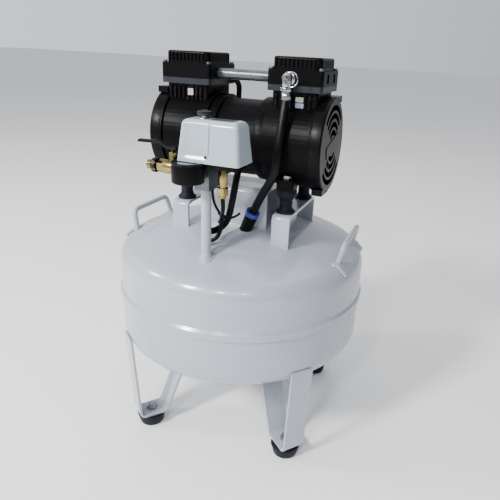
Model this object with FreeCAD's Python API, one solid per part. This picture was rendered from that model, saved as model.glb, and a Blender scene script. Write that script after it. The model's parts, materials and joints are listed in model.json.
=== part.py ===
import FreeCAD, Part
import math
import os

from FreeCAD import Rotation, Vector

# A small oil-free air compressor: a twin-cylinder pump on a round welded tank
# with four strip legs. Millimetres, +Z up. The origin is on the floor, on the
# tank's axis. +X runs along the pump's shaft and -Y is the front, where the
# gauge and the pressure switch stand.

# --- Tank -----------------------------------------------------------------
TANK_R = 200.0
TANK_WALL = 3.0
CROWN_R = 409.0
KNUCKLE_R = 29.5
WALL_LOW_Z = 181.0
WALL_HIGH_Z = 292.0
SEAM_LOW_Z = 236.0
SEAM_HIGH_Z = 246.0
SEAM_SLOPE = 4.0
BEAD = 3.0

# --- Legs, feet and handles -------------------------------------------------
LEG_COUNT = 4
LEG_TURN = 4.5
FOOT_PITCH_R = 169.7
FOOT_R = 23.5
FOOT_TIP_R = 19.5
FOOT_H = 20.0
STRIP_T = 4.0
LEG_W = 36.0
LEG_BEND_R = 9.0
LEG_BASE_HALF = 22.0
LEG_TOP_R = 201.0
LEG_TOP_Z = 174.0
LEG_ROOT_R = 104.0
LEG_ROOT_Z = 132.0
FOOT_BOLT_R = 4.0
NUT_FLATS_R = 7.5
NUT_H = 6.5

HANDLE_X = 172.0
HANDLE_TOP_X = 180.0
HANDLE_Y = 54.0
HANDLE_TOP_Y = 50.0
HANDLE_TOP_Z = 350.0
HANDLE_ROD_R = 4.2
HANDLE_BEND_R = 11.0
HANDLE_PAD_W = 16.0
HANDLE_DROP = 34.0
# The welded foot's outline from the bar's end: outward, then up.
HANDLE_FOOT = ((-6.0, 7.5), (5.0, 3.5), (16.0, -7.0))
HANDLE_FOOT_BEND_R = 5.0

# --- Pump position and size -------------------------------------------------
PUMP_X = 8.5
PUMP_Y = -15.0
PUMP_Z = 486.0
HALF_PITCH = 82.5
MOTOR_R = 56.0
MOTOR_WALL = 4.0
END_RING_R = 61.0
END_RING_W = 14.0
MOTOR_HALF = 44.0
CASE_R = 64.0
CASE_WALL = 4.0
CASE_END = 116.0
CASE_DISC = 8.0
CASE_FLANGE = 4.0
BEARING_R = 16.0
SHAFT_R = 7.0
SHAFT_HALF = 127.5
RUN_GAP = 0.05
THROW = 8.0
CRANK_R = 9.0
CRANK_W = 12.0
STATOR_R = 52.0
STATOR_BORE = 30.5
ROTOR_R = 30.0
CORE_HALF = 28.0
WINDING_IN = 34.0
WINDING_OUT = 49.0
WINDING_L = 11.0

CYL_W = 66.0
CYL_D = 76.0
BORE_R = 27.5
LINER_R = 31.0
LINER_GAP = 0.4
LINER_LOW_Z = 528.0
RIB_PITCH = 7.0
RIB_W = 3.5
RIB_DEPTH = 3.0
CYL_TOP_Z = 559.5
HEAD_W = 79.0
HEAD_D = 88.0
HEAD_CORNER_R = 5.0
PLATE_H = 8.0
HEAD_TOP_Z = 587.5
HEAD_ROOF = 6.0
HEAD_WALL = 7.0
SLOT_W = 10.0
SLOT_H = 12.0
SLOT_DEPTH = 4.0
COVER_W = 69.0
COVER_D = 78.0
COVER_H = 16.5
COVER_CORNER_R = 9.0
COVER_RIB_PITCH = 6.0
COVER_GROOVE = 3.0
COVER_GROOVE_DEPTH = 2.2
COVER_RIM_H = 3.0
COVER_WALL = 5.0
SCREW_X = 35.0
SCREW_Y = 39.5
SCREW_HEAD_R = 3.2
SCREW_HEAD_H = 3.0
SCREW_R = 2.0
TRANSFER_R = 7.5
TRANSFER_Y = PUMP_Y - 13.0
TRANSFER_Z = 575.5
TRANSFER_SEAT = 6.0

PISTON_R = 27.44
PISTON_H = 9.0
PISTON_TOP_Z = 548.0
ROD_W = 12.0
ROD_T = 9.0
EYE_IN_R = 25.6
EYE_OUT_R = 30.5

FAN_COVER_R = 67.5
FAN_COVER_L = 15.7
FAN_COVER_WALL = 2.5
GRILLE_RADII = (19.0, 30.5, 42.0, 53.5)
GRILLE_SLOT = 7.5
GRILLE_SPAN = 104.0
TAB_W = 38.0
TAB_H = 9.0
FAN_R = 56.0
FAN_HUB_R = 13.0
FAN_L = 8.0
FAN_BLADES = 7
BLADE_T = 2.5

# --- Mounting brackets --------------------------------------------------------
BRACKET_DX = 81.5
BRACKET_W = 27.0
BRACKET_FRONT_Y = -80.0
BRACKET_BACK_Y = 50.0
BRACKET_TOP_Z = 390.0
BRACKET_BEND_R = 7.0
BRACKET_ROOT_Z = 320.0
MOUNT_DY = 45.0
MOUNT_TOP_Z = 425.0
# The mount's outline: radius, then height above the bracket.
MOUNT_OUTLINE = (
    (14.0, 0.0),
    (14.0, 3.0),
    (9.4, 8.0),
    (9.4, 19.0),
    (11.4, 22.0),
    (15.0, 26.0),
    (15.0, MOUNT_TOP_Z - BRACKET_TOP_Z),
)
LUG_TOP_Z = 440.0
LUG_HALF = 13.0
MOUNT_BOLT_R = 4.0
MOUNT_NUT_FLATS_R = 6.5
MOUNT_NUT_H = 5.0
MOUNT_BOLT_TAIL = 7.0
CENTRE_X = PUMP_X
CENTRE_W = 97.0
CENTRE_FRONT_Y = -50.0
CENTRE_BACK_Y = 26.0
CENTRE_TOP_Z = 415.0
CAP_R = 17.0
CAP_L = 58.0
CAP_Z = 388.0
CAP_STUD_L = 12.0

# --- Air circuit --------------------------------------------------------------
POST_X = 4.0
POST_Y = -146.0
POST_R = 7.0
POST_BORE_R = 5.0
POST_ROOT_Z = 320.0
POST_FLARE_R = 12.5
POST_FLARE_H = 12.0
POST_FLARE_Z = 329.5
BLOCK_LOW_Z = 434.0
BLOCK_HIGH_Z = 468.0
BLOCK_HALF_X = 11.0
BLOCK_HALF_Y = 13.5
BLOCK_BORE_H = 26.0
GAUGE_X = POST_X - 7.0
GAUGE_Y = -182.0
GAUGE_R = 21.0
GAUGE_LOW_Z = 449.0
GAUGE_HIGH_Z = 474.4
GAUGE_WALL = 2.0
GAUGE_STEM_R = 4.0
GAUGE_EDGE_R = 2.5
NEEDLE_W = 1.2
NEEDLE_TAIL = 4.0
NEEDLE_REST = 135.0
DIAL_Z = 470.6
DIAL_T = 0.8
LENS_T = 0.8
VALVE_Z = 457.0
LEVER_X = -45.0
OUTLET_TIP_X = -84.0
OUTLET_BORE_R = 3.5
# Round and hexagonal lengths of the valve body: radius, from X, to X.
OUTLET_ROUNDS = ((6.5, -30.0, -7.0), (10.0, -57.0, -29.0), (6.2, OUTLET_TIP_X, -65.0))
OUTLET_HEXES = ((9.0, -24.0, -14.0), (8.2, -66.0, -56.0), (8.5, -76.0, -69.0))
GLAND_R = 5.5
BALL_R = 7.0
STEM_R = 2.6
LEVER_Z = 483.0
LEVER_T = 3.0
LEVER_W = 9.0
# The lever's outline from its pivot: along it, then up.
LEVER_LINE = ((6.0, 0.0), (-8.0, 0.0), (-19.0, 6.0), (-52.0, 5.0))
LEVER_BEND_R = 6.0
BALL_GAP = 0.3

SWITCH_X = 23.0
SWITCH_Y = -158.0
SWITCH_LOW_Z = 468.0
SWITCH_SILL_Z = 475.0
SWITCH_TOP_Z = 527.0
SWITCH_W = 86.0
SWITCH_D = 48.0
SWITCH_TOP_W = 76.0
SWITCH_TOP_D = 36.0
SWITCH_CORNER_R = 5.0
SWITCH_WALL = 2.0
KNOB_X = 8.0
KNOB_R = 9.0
KNOB_Z = 531.0
KNOB_H = 6.0
KNOB_STEM_R = 4.0
KNOB_TRAVEL = 3.0
KNOB_STEM_L = 24.0
KNOB_GUIDE_R = 7.0
KNOB_GUIDE_DROP = 12.0
SWITCH_BASE_INSET = 12.0
SWITCH_EDGE_R = 4.0
UNLOADER_X = 28.0
UNLOADER_Y = -145.0
UNLOADER_LOW_Z = 424.0
UNLOADER_R = 5.0
UNLOADER_HEX_R = 7.0
UNLOADER_BODY_R = 6.2

ELBOW_X = 84.0
ELBOW_Y = -70.0
ELBOW_Z = 577.0
ELBOW_LOW_Z = 549.0
ELBOW_HIGH_Z = 583.0
ELBOW_R = 7.8
ELBOW_NUT_R = 9.2
ELBOW_PORT_R = 5.0
ELBOW_PORT_NUT_R = 7.4
ELBOW_PORT_SEAT = 8.0
ELBOW_EDGE_R = 2.5
RELIEF_R = 3.0
RELIEF_TIP_Y = -83.0
RING_Y = -80.5
RING_R = 9.2
RING_WIRE_R = 0.9
RING_DROP = 2.0
HOSE_R = 6.0
HOSE_WALL = 1.6
FITTING_FOOT = Vector(30.0, -65.0, 356.5)
FITTING_AXIS = Vector(14.0, -8.0, 31.0).normalize()
FITTING_R = 9.6
FITTING_L = 26.0
COLLAR_R = 10.4
COLLAR_L = 7.0
COLLAR_GAP = 2.0
TUBE_R = 3.0
CABLE_R = 5.0

DRAIN_BOSS_R = 11.0
DRAIN_BODY_R = 8.0
DRAIN_LOW_Z = 84.0
DRAIN_SPIGOT_R = 6.0
DRAIN_STEM_R = 2.5
DRAIN_KNOB_R = 9.0
DRAIN_KNOB_H = 9.0
DRAIN_WING = 15.0
DRAIN_WING_T = 4.0

# Centre lines of the tube, the cable and the hose, between their ends.
UNLOADER_ROUTE = (
    (26.0, -138.0, 408.0),
    (12.0, -112.0, 389.0),
    (12.0, -119.0, 356.0),
    (-8.0, -128.0, 348.0),
    (-9.0, -126.0, 337.0),
)
CABLE_ROUTE = (
    (19.0, -58.0, 470.0),
    (22.0, -82.0, 450.0),
    (17.0, -89.0, 402.0),
    (9.0, -91.0, 364.0),
    (-6.0, -138.0, 364.0),
    (-6.5, -124.0, 438.0),
    (-7.0, -125.0, 464.0),
    (-8.0, -138.5, 492.0),
)
HOSE_ROUTE = ((ELBOW_X, -80.0, 520.0), (83.0, -88.0, 486.0), (81.0, -91.0, 450.0))
HOSE_RUN_IN = 32.0
HOSE_SEAT = 12.0

CUT = 400.0
UP = Vector(0, 0, 1)
ALONG_X = Vector(1, 0, 0)
ALONG_Y = Vector(0, 1, 0)


# --- Building blocks ----------------------------------------------------------
def rod(radius, start, end):
    """A round bar from one point to another."""
    run = end - start
    return Part.makeCylinder(radius, run.Length, start, run)


def ring(outer, inner, start, end):
    """A tube with flat ends."""
    return rod(outer, start, end).cut(rod(inner, start, end))


def hex_bar(flat_r, start, end):
    """A hexagonal bar, flat_r from its axis to each flat."""
    run = end - start
    corner_r = flat_r / math.cos(math.radians(30))
    corners = [
        Rotation(UP, 60 * i).multVec(ALONG_X) * corner_r
        for i in range(7)
    ]
    bar = Part.Face(Part.makePolygon(corners)).extrude(Vector(0, 0, run.Length))
    bar.Placement = FreeCAD.Placement(start, Rotation(UP, run))
    return bar


def box(low, high):
    """A box between two opposite corners."""
    size = high - low
    return Part.makeBox(size.x, size.y, size.z, low)


def pad(centre_x, centre_y, width, depth, low_z, high_z, corner_r):
    """A box with rounded upright corners."""
    half = Vector(width / 2, depth / 2, 0)
    centre = Vector(centre_x, centre_y, 0)
    block = box(centre - half + UP * low_z, centre + half + UP * high_z)
    upright = [e for e in block.Edges if abs(e.tangentAt(e.FirstParameter).z) > 0.99]
    return block.makeFillet(corner_r, upright)


def bent_path(points, bend_r=None):
    """Straight runs joined by tangent arcs. With no radius given, each arc is as wide as its runs allow."""
    edges = []
    radii = []
    last = points[0]
    for before, corner, after in zip(points, points[1:], points[2:]):
        inward = (before - corner).normalize()
        outward = (after - corner).normalize()
        half_turn = (math.pi - inward.getAngle(outward)) / 2
        shorter = min((before - corner).Length, (after - corner).Length)
        radius = bend_r if bend_r else 0.45 * shorter / math.tan(half_turn)
        setback = radius * math.tan(half_turn)
        start = corner + inward * setback
        end = corner + outward * setback
        bisector = (inward + outward).normalize()
        middle = corner + bisector * (radius / math.cos(half_turn) - radius)
        edges.append(Part.LineSegment(last, start).toShape())
        edges.append(Part.Arc(start, middle, end).toShape())
        radii.append(round(radius, 1))
        last = end
    edges.append(Part.LineSegment(last, points[-1]).toShape())
    return Part.Wire(edges), radii


def round_bar(points, radius, bend_r=None, label=None):
    """A round bar, hose or cable bent along a path."""
    path, radii = bent_path(points, bend_r)
    if label:
        print(label, "bend radii", radii, "length", round(path.Length, 1))
    section = Part.Wire(Part.makeCircle(radius, points[0], points[1] - points[0]))
    return path.makePipeShell([section], True, False)


def strip(points, thickness, width, bend_r):
    """A flat strip bent along a path in the XZ plane, centred on Y = 0."""
    path, _ = bent_path(points, bend_r)
    along = (points[1] - points[0]).normalize()
    across = ALONG_Y.cross(along) * (thickness / 2)
    side = ALONG_Y * (width / 2)
    start = points[0]
    corners = [start - across - side, start + across - side, start + across + side, start - across + side]
    section = Part.makePolygon(corners + corners[:1])
    return path.makePipeShell([section], True, False)


def around(shape, angle):
    """A copy turned about the tank's axis."""
    turned = shape.copy()
    turned.rotate(Vector(0, 0, 0), UP, angle)
    return turned


def moved(shape, offset):
    """A copy moved by an offset."""
    copy = shape.copy()
    copy.translate(offset)
    return copy


def mirrored(shape):
    """The same piece on the other side of the pump's middle."""
    return shape.mirror(Vector(PUMP_X, 0, 0), ALONG_X)


def on_shaft(offset_x):
    """A point on the pump's shaft."""
    return Vector(PUMP_X + offset_x, PUMP_Y, PUMP_Z)


# --- Tank -----------------------------------------------------------------
def dish_outline(sign, skin):
    """Edges of a dished end from the wall to the axis: knuckle, then crown."""
    wall_z = WALL_HIGH_Z if sign > 0 else WALL_LOW_Z
    radius = KNUCKLE_R - skin
    crown = CROWN_R - skin
    knuckle_x = TANK_R - KNUCKLE_R
    rise = math.sqrt((CROWN_R - KNUCKLE_R) ** 2 - knuckle_x**2)
    slope = math.atan2(knuckle_x, rise)
    centre_z = wall_z - sign * rise

    def knuckle_point(angle):
        return Vector(knuckle_x + radius * math.sin(angle), 0, wall_z + sign * radius * math.cos(angle))

    def crown_point(angle):
        return Vector(crown * math.sin(angle), 0, centre_z + sign * crown * math.cos(angle))

    bend = (math.pi / 2 + slope) / 2
    knuckle = Part.Arc(knuckle_point(math.pi / 2), knuckle_point(bend), knuckle_point(slope))
    dome = Part.Arc(crown_point(slope), crown_point(slope / 2), crown_point(0))
    return [knuckle.toShape(), dome.toShape()]


def turned_solid(edges):
    """The solid made by turning a closed outline once about the tank's axis."""
    wire = Part.Wire(Part.__sortEdges__(edges))
    return Part.Face(wire).revolve(Vector(0, 0, 0), UP, 360)


def chain(points):
    """Straight edges through a list of (radius, height) pairs."""
    spots = [Vector(r, 0, z) for r, z in points]
    return [Part.LineSegment(a, b).toShape() for a, b in zip(spots, spots[1:])]


def axis_height(sign, skin):
    """Height at which a dished end meets the tank's axis."""
    return dish_outline(sign, skin)[1].Vertexes[-1].Z


inner_r = TANK_R - TANK_WALL
lap_r = TANK_R + TANK_WALL
upper_outer = chain(
    [
        (TANK_R, SEAM_LOW_Z - BEAD),
        (lap_r, SEAM_LOW_Z),
        (lap_r, SEAM_HIGH_Z),
        (TANK_R, SEAM_HIGH_Z + SEAM_SLOPE),
        (TANK_R, WALL_HIGH_Z),
    ]
)
upper_inner = chain(
    [
        (inner_r, WALL_HIGH_Z),
        (inner_r, SEAM_HIGH_Z + SEAM_SLOPE),
        (TANK_R, SEAM_HIGH_Z),
        (TANK_R, SEAM_LOW_Z - BEAD),
    ]
)
upper_axis = chain([(0, axis_height(1, 0)), (0, axis_height(1, TANK_WALL))])
tank_upper_shell = turned_solid(
    upper_outer + dish_outline(1, 0) + upper_axis + dish_outline(1, TANK_WALL) + upper_inner
)

lower_wall = chain(
    [
        (TANK_R, WALL_LOW_Z),
        (TANK_R, SEAM_HIGH_Z - 1),
        (inner_r, SEAM_HIGH_Z - 1),
        (inner_r, WALL_LOW_Z),
    ]
)
lower_axis = chain([(0, axis_height(-1, 0)), (0, axis_height(-1, TANK_WALL))])
tank_lower_shell = turned_solid(lower_wall + dish_outline(-1, 0) + lower_axis + dish_outline(-1, TANK_WALL))

envelope_edges = chain([(TANK_R, WALL_LOW_Z), (TANK_R, WALL_HIGH_Z)])
envelope_edges += dish_outline(1, 0) + dish_outline(-1, 0) + chain([(0, axis_height(1, 0)), (0, axis_height(-1, 0))])
tank_envelope = turned_solid(envelope_edges)

# --- Legs and feet ------------------------------------------------------------
leg_line = [
    Vector(LEG_TOP_R, 0, LEG_TOP_Z),
    Vector(FOOT_PITCH_R + LEG_BASE_HALF, 0, FOOT_H + STRIP_T / 2),
    Vector(FOOT_PITCH_R - LEG_BASE_HALF, 0, FOOT_H + STRIP_T / 2),
    Vector(LEG_ROOT_R, 0, LEG_ROOT_Z),
]
foot_axis = Vector(FOOT_PITCH_R, 0, 0)
foot_bolt = rod(FOOT_BOLT_R, foot_axis + UP * 3, foot_axis + UP * (FOOT_H + STRIP_T + NUT_H + 3))
foot_bolt = foot_bolt.fuse(
    hex_bar(NUT_FLATS_R, foot_axis + UP * (FOOT_H + STRIP_T), foot_axis + UP * (FOOT_H + STRIP_T + NUT_H))
)
leg = strip(leg_line, STRIP_T, LEG_W, LEG_BEND_R).cut(foot_bolt).cut(tank_envelope)
foot = Part.makeCone(FOOT_TIP_R, FOOT_R, FOOT_H, foot_axis).cut(foot_bolt)

leg_names = ("leg_back_right", "leg_back_left", "leg_front_left", "leg_front_right")
leg_angles = [LEG_TURN + 45 + 360 / LEG_COUNT * i for i in range(LEG_COUNT)]
legs = {name: around(leg, angle) for name, angle in zip(leg_names, leg_angles)}
rubber_feet = Part.makeCompound([around(foot, angle) for angle in leg_angles])
foot_bolts = Part.makeCompound([around(foot_bolt, angle) for angle in leg_angles])

# --- Handles ------------------------------------------------------------------
handle_line = [
    Vector(HANDLE_X, -HANDLE_Y, HANDLE_TOP_Z - HANDLE_DROP),
    Vector(HANDLE_TOP_X, -HANDLE_TOP_Y, HANDLE_TOP_Z),
    Vector(HANDLE_TOP_X, HANDLE_TOP_Y, HANDLE_TOP_Z),
    Vector(HANDLE_X, HANDLE_Y, HANDLE_TOP_Z - HANDLE_DROP),
]
handle_right = round_bar(handle_line, HANDLE_ROD_R, HANDLE_BEND_R)
handle_end = Vector(HANDLE_X, 0, HANDLE_TOP_Z - HANDLE_DROP)
handle_foot_line = [handle_end + Vector(out, 0, up) for out, up in HANDLE_FOOT]
handle_foot = strip(handle_foot_line, STRIP_T, HANDLE_PAD_W, HANDLE_FOOT_BEND_R)
for side in (-1, 1):
    handle_right = handle_right.fuse(moved(handle_foot, Vector(0, side * HANDLE_Y, 0)))
handle_right = handle_right.cut(tank_envelope)
handle_left = handle_right.mirror(Vector(0, 0, 0), ALONG_X)

# --- Pump brackets -------------------------------------------------------------
def saddle(centre_x, width, front_y, back_y, top_z, thickness):
    """A strip bridge standing on the tank, running front to back."""
    mid_z = top_z - thickness / 2
    line = [
        Vector(front_y, 0, BRACKET_ROOT_Z),
        Vector(front_y, 0, mid_z),
        Vector(back_y, 0, mid_z),
        Vector(back_y, 0, BRACKET_ROOT_Z),
    ]
    bridge = strip(line, thickness, width, BRACKET_BEND_R)
    bridge.rotate(Vector(0, 0, 0), UP, 90)
    bridge.translate(Vector(centre_x, 0, 0))
    return bridge.cut(tank_envelope)


mount_spots = [
    Vector(PUMP_X + side * BRACKET_DX, PUMP_Y + way * MOUNT_DY, 0) for side in (-1, 1) for way in (-1, 1)
]
mount_bolts_each = []
for spot in mount_spots:
    under = spot + UP * (BRACKET_TOP_Z - STRIP_T)
    over = spot + UP * LUG_TOP_Z
    bolt = rod(MOUNT_BOLT_R, under - UP * MOUNT_BOLT_TAIL, over + UP * MOUNT_BOLT_TAIL)
    low_nut = hex_bar(MOUNT_NUT_FLATS_R, under - UP * MOUNT_NUT_H, under)
    top_nut = hex_bar(MOUNT_NUT_FLATS_R, over, over + UP * MOUNT_NUT_H)
    mount_bolts_each.append(bolt.fuse([low_nut, top_nut]))
mount_bolts = Part.makeCompound(mount_bolts_each)

mount_side = [(r, BRACKET_TOP_Z + h) for r, h in MOUNT_OUTLINE]
mount_profile = [(0, BRACKET_TOP_Z)] + mount_side + [(0, MOUNT_TOP_Z), (0, BRACKET_TOP_Z)]
rubber_mount = turned_solid(chain(mount_profile))
rubber_mounts = Part.makeCompound([moved(rubber_mount, spot).cut(mount_bolts) for spot in mount_spots])

side_span = (BRACKET_FRONT_Y, BRACKET_BACK_Y, BRACKET_TOP_Z, STRIP_T)
bracket_left = saddle(PUMP_X - BRACKET_DX, BRACKET_W, *side_span).cut(mount_bolts)
bracket_right = saddle(PUMP_X + BRACKET_DX, BRACKET_W, *side_span).cut(mount_bolts)

# The middle bracket carries the motor's run capacitor on a stud.
bracket_centre = saddle(CENTRE_X, CENTRE_W, CENTRE_FRONT_Y, CENTRE_BACK_Y, CENTRE_TOP_Z, STRIP_T)
cap_end = Vector(CENTRE_X, CENTRE_BACK_Y - STRIP_T / 2, CAP_Z)
cap_stud = rod(MOUNT_BOLT_R, cap_end, cap_end + ALONG_Y * CAP_STUD_L)
nut_start = cap_end + ALONG_Y * STRIP_T
cap_nut = hex_bar(MOUNT_NUT_FLATS_R, nut_start, nut_start + ALONG_Y * MOUNT_NUT_H)
run_capacitor = rod(CAP_R, cap_end - ALONG_Y * CAP_L, cap_end).fuse([cap_stud, cap_nut])
bracket_centre = bracket_centre.cut(cap_stud)

# --- Motor and crankcases --------------------------------------------------------
motor_housing = ring(MOTOR_R, MOTOR_R - MOTOR_WALL, on_shaft(-MOTOR_HALF), on_shaft(MOTOR_HALF))
for side in (-1, 1):
    inner_face = on_shaft(side * (MOTOR_HALF - END_RING_W))
    end_ring = ring(END_RING_R, MOTOR_R - 1, inner_face, on_shaft(side * MOTOR_HALF))
    motor_housing = motor_housing.fuse(end_ring)
stator_core = ring(STATOR_R, STATOR_BORE, on_shaft(-CORE_HALF), on_shaft(CORE_HALF))
stator_windings = Part.makeCompound(
    [
        ring(WINDING_OUT, WINDING_IN, on_shaft(side * CORE_HALF), on_shaft(side * (CORE_HALF + WINDING_L)))
        for side in (-1, 1)
    ]
)
rotor_core = ring(ROTOR_R, SHAFT_R, on_shaft(-CORE_HALF), on_shaft(CORE_HALF))

crank_shaft = rod(SHAFT_R, on_shaft(-SHAFT_HALF), on_shaft(SHAFT_HALF))
for side in (-1, 1):
    pin_start = on_shaft(side * HALF_PITCH - CRANK_W / 2) + ALONG_Y * side * THROW
    crank_shaft = crank_shaft.fuse(rod(CRANK_R, pin_start, pin_start + ALONG_X * CRANK_W))

bearing_starts = (-CASE_END, -MOTOR_HALF - CASE_DISC, MOTOR_HALF, CASE_END - CASE_DISC)
shaft_bearings = Part.makeCompound(
    [ring(BEARING_R, SHAFT_R + RUN_GAP, on_shaft(x), on_shaft(x + CASE_DISC)) for x in bearing_starts]
)

case_right = rod(CASE_R, on_shaft(MOTOR_HALF), on_shaft(CASE_END))
for way in (-1, 1):
    lug_y = PUMP_Y + way * MOUNT_DY
    lug_x = PUMP_X + BRACKET_DX
    lug = pad(lug_x, lug_y, 2 * LUG_HALF, 2 * LUG_HALF, MOUNT_TOP_Z, LUG_TOP_Z, 4)
    case_right = case_right.fuse(lug)
case_flange = rod(FAN_COVER_R, on_shaft(CASE_END - CASE_FLANGE), on_shaft(CASE_END))
case_right = case_right.fuse(case_flange)
case_right = case_right.cut(
    rod(CASE_R - CASE_WALL, on_shaft(MOTOR_HALF + CASE_DISC), on_shaft(CASE_END - CASE_DISC))
)
case_right = case_right.cut(rod(BEARING_R, on_shaft(MOTOR_HALF), on_shaft(CASE_END)))
bore_axis = on_shaft(HALF_PITCH)
case_right = case_right.cut(rod(LINER_R + LINER_GAP, bore_axis, bore_axis + UP * FAN_COVER_R))
crankcase_right = case_right.cut(mount_bolts)
crankcase_left = mirrored(case_right).cut(mount_bolts)


# --- Cylinders and heads ----------------------------------------------------------
def rib_cuts(centre, width, depth, low_z, high_z, pitch, groove, groove_depth):
    """Upright grooves all round a rectangular block, which leave ribs between them."""
    cuts = []
    for along, across, turned in ((width, depth, False), (depth, width, True)):
        count = int((along - 2 * pitch) / pitch)
        for i in range(count + 1):
            offset = (i - count / 2) * pitch
            for side in (-1, 1):
                wall = side * across / 2
                low = Vector(offset - groove / 2, wall - groove_depth, low_z)
                high = Vector(offset + groove / 2, wall + groove_depth, high_z)
                cut = box(low, high)
                if turned:
                    cut.rotate(Vector(0, 0, 0), UP, 90)
                cuts.append(moved(cut, centre))
    return cuts


head_centre = Vector(PUMP_X + HALF_PITCH, PUMP_Y, 0)
cylinder = pad(head_centre.x, head_centre.y, CYL_W, CYL_D, PUMP_Z, CYL_TOP_Z, 4)
ribs = rib_cuts(head_centre, CYL_W, CYL_D, PUMP_Z, CYL_TOP_Z - 4, RIB_PITCH, RIB_PITCH - RIB_W, RIB_DEPTH)
cylinder = cylinder.cut(ribs).cut(rod(CASE_R, on_shaft(0), on_shaft(CASE_END))).cut(case_flange)
cylinder = cylinder.fuse(rod(LINER_R, head_centre + UP * LINER_LOW_Z, head_centre + UP * CYL_TOP_Z))
cylinder_right = cylinder.cut(rod(BORE_R, head_centre + UP * PUMP_Z, head_centre + UP * CYL_TOP_Z))
cylinder_left = mirrored(cylinder_right)

plate_top_z = CYL_TOP_Z + PLATE_H
screw_spots = [head_centre + Vector(i * SCREW_X, j * SCREW_Y, 0) for i in (-1, 1) for j in (-1, 1)]
screws = []
for spot in screw_spots:
    shank = rod(SCREW_R, spot + UP * (CYL_TOP_Z + 1), spot + UP * HEAD_TOP_Z)
    cap = rod(SCREW_HEAD_R, spot + UP * HEAD_TOP_Z, spot + UP * (HEAD_TOP_Z + SCREW_HEAD_H))
    screws.append(shank.fuse(cap))
head_screws = Part.makeCompound(screws + [mirrored(screw) for screw in screws])

valve_plate = pad(head_centre.x, head_centre.y, HEAD_W, HEAD_D, CYL_TOP_Z, plate_top_z, HEAD_CORNER_R)
for port in (-1, 1):
    port_axis = head_centre + Vector(0, port * BORE_R / 2, CYL_TOP_Z)
    valve_plate = valve_plate.cut(rod(SHAFT_R / 2, port_axis, port_axis + UP * PLATE_H))
valve_plate = valve_plate.cut(head_screws)
valve_plates = Part.makeCompound([mirrored(valve_plate), valve_plate])

head_spot = (head_centre.x, head_centre.y)
head = pad(*head_spot, HEAD_W, HEAD_D, plate_top_z, HEAD_TOP_Z, HEAD_CORNER_R)
chamber_w = HEAD_W - 4 * HEAD_WALL
chamber_d = HEAD_D - 4 * HEAD_WALL
head = head.cut(pad(*head_spot, chamber_w, chamber_d, plate_top_z, HEAD_TOP_Z - HEAD_ROOF, HEAD_ROOF))
outer_face_x = head_centre.x + HEAD_W / 2
for slot in (-1, 1):
    slot_y = head_centre.y + slot * HEAD_D / 5
    low = Vector(outer_face_x - SLOT_DEPTH, slot_y - SLOT_W / 2, plate_top_z + SLOT_DEPTH)
    head = head.cut(box(low, low + Vector(SLOT_DEPTH, SLOT_W, SLOT_H)))
head = head.cut(head_screws)
tube_start = Vector(PUMP_X - HALF_PITCH + HEAD_W / 2 - TRANSFER_SEAT, TRANSFER_Y, TRANSFER_Z)
tube_end = Vector(PUMP_X + HALF_PITCH - HEAD_W / 2 + TRANSFER_SEAT, TRANSFER_Y, TRANSFER_Z)
tube_seat = rod(TRANSFER_R, tube_start, tube_end)
transfer_tube = ring(TRANSFER_R, TRANSFER_R - 1.5, tube_start, tube_end)
elbow_seat_y = head_centre.y - HEAD_D / 2
port_face = Vector(ELBOW_X, elbow_seat_y, ELBOW_Z - 1)
port_end = port_face + ALONG_Y * ELBOW_PORT_SEAT
elbow_seat = rod(ELBOW_PORT_R, port_face, port_end)
head_left = mirrored(head).cut(tube_seat)
head_right = head.cut(tube_seat).cut(elbow_seat)

cover_top_z = HEAD_TOP_Z + COVER_H
cover = pad(*head_spot, COVER_W, COVER_D, HEAD_TOP_Z, cover_top_z, COVER_CORNER_R)
rim = [e for e in cover.Edges if min(v.Z for v in e.Vertexes) > cover_top_z - 0.01]
cover = cover.makeFillet(COVER_RIM_H, rim)
cover = cover.cut(
    rib_cuts(
        head_centre,
        COVER_W,
        COVER_D,
        HEAD_TOP_Z + COVER_RIM_H,
        cover_top_z - COVER_RIM_H,
        COVER_RIB_PITCH,
        COVER_GROOVE,
        COVER_GROOVE_DEPTH,
    )
)
inside_w = COVER_W - 2 * COVER_WALL
inside_d = COVER_D - 2 * COVER_WALL
inside = pad(*head_spot, inside_w, inside_d, HEAD_TOP_Z, cover_top_z - COVER_WALL, COVER_WALL)
head_cover_right = cover.cut(inside)
head_cover_left = mirrored(head_cover_right)

# --- Pistons --------------------------------------------------------------------------
# Each rod's big end is an open eye, wide enough for the crank to turn inside it.
crown = rod(PISTON_R, head_centre + UP * (PISTON_TOP_Z - PISTON_H), head_centre + UP * PISTON_TOP_Z)
eye_start = bore_axis - ALONG_X * (ROD_T / 2)
eye = ring(EYE_OUT_R, EYE_IN_R, eye_start, eye_start + ALONG_X * ROD_T)
rod_low = bore_axis + Vector(-ROD_T / 2, -ROD_W / 2, EYE_IN_R + 2)
rod_high = head_centre + Vector(ROD_T / 2, ROD_W / 2, PISTON_TOP_Z - PISTON_H)
piston_right = crown.fuse([eye, box(rod_low, rod_high)])
piston_left = mirrored(piston_right)

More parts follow.
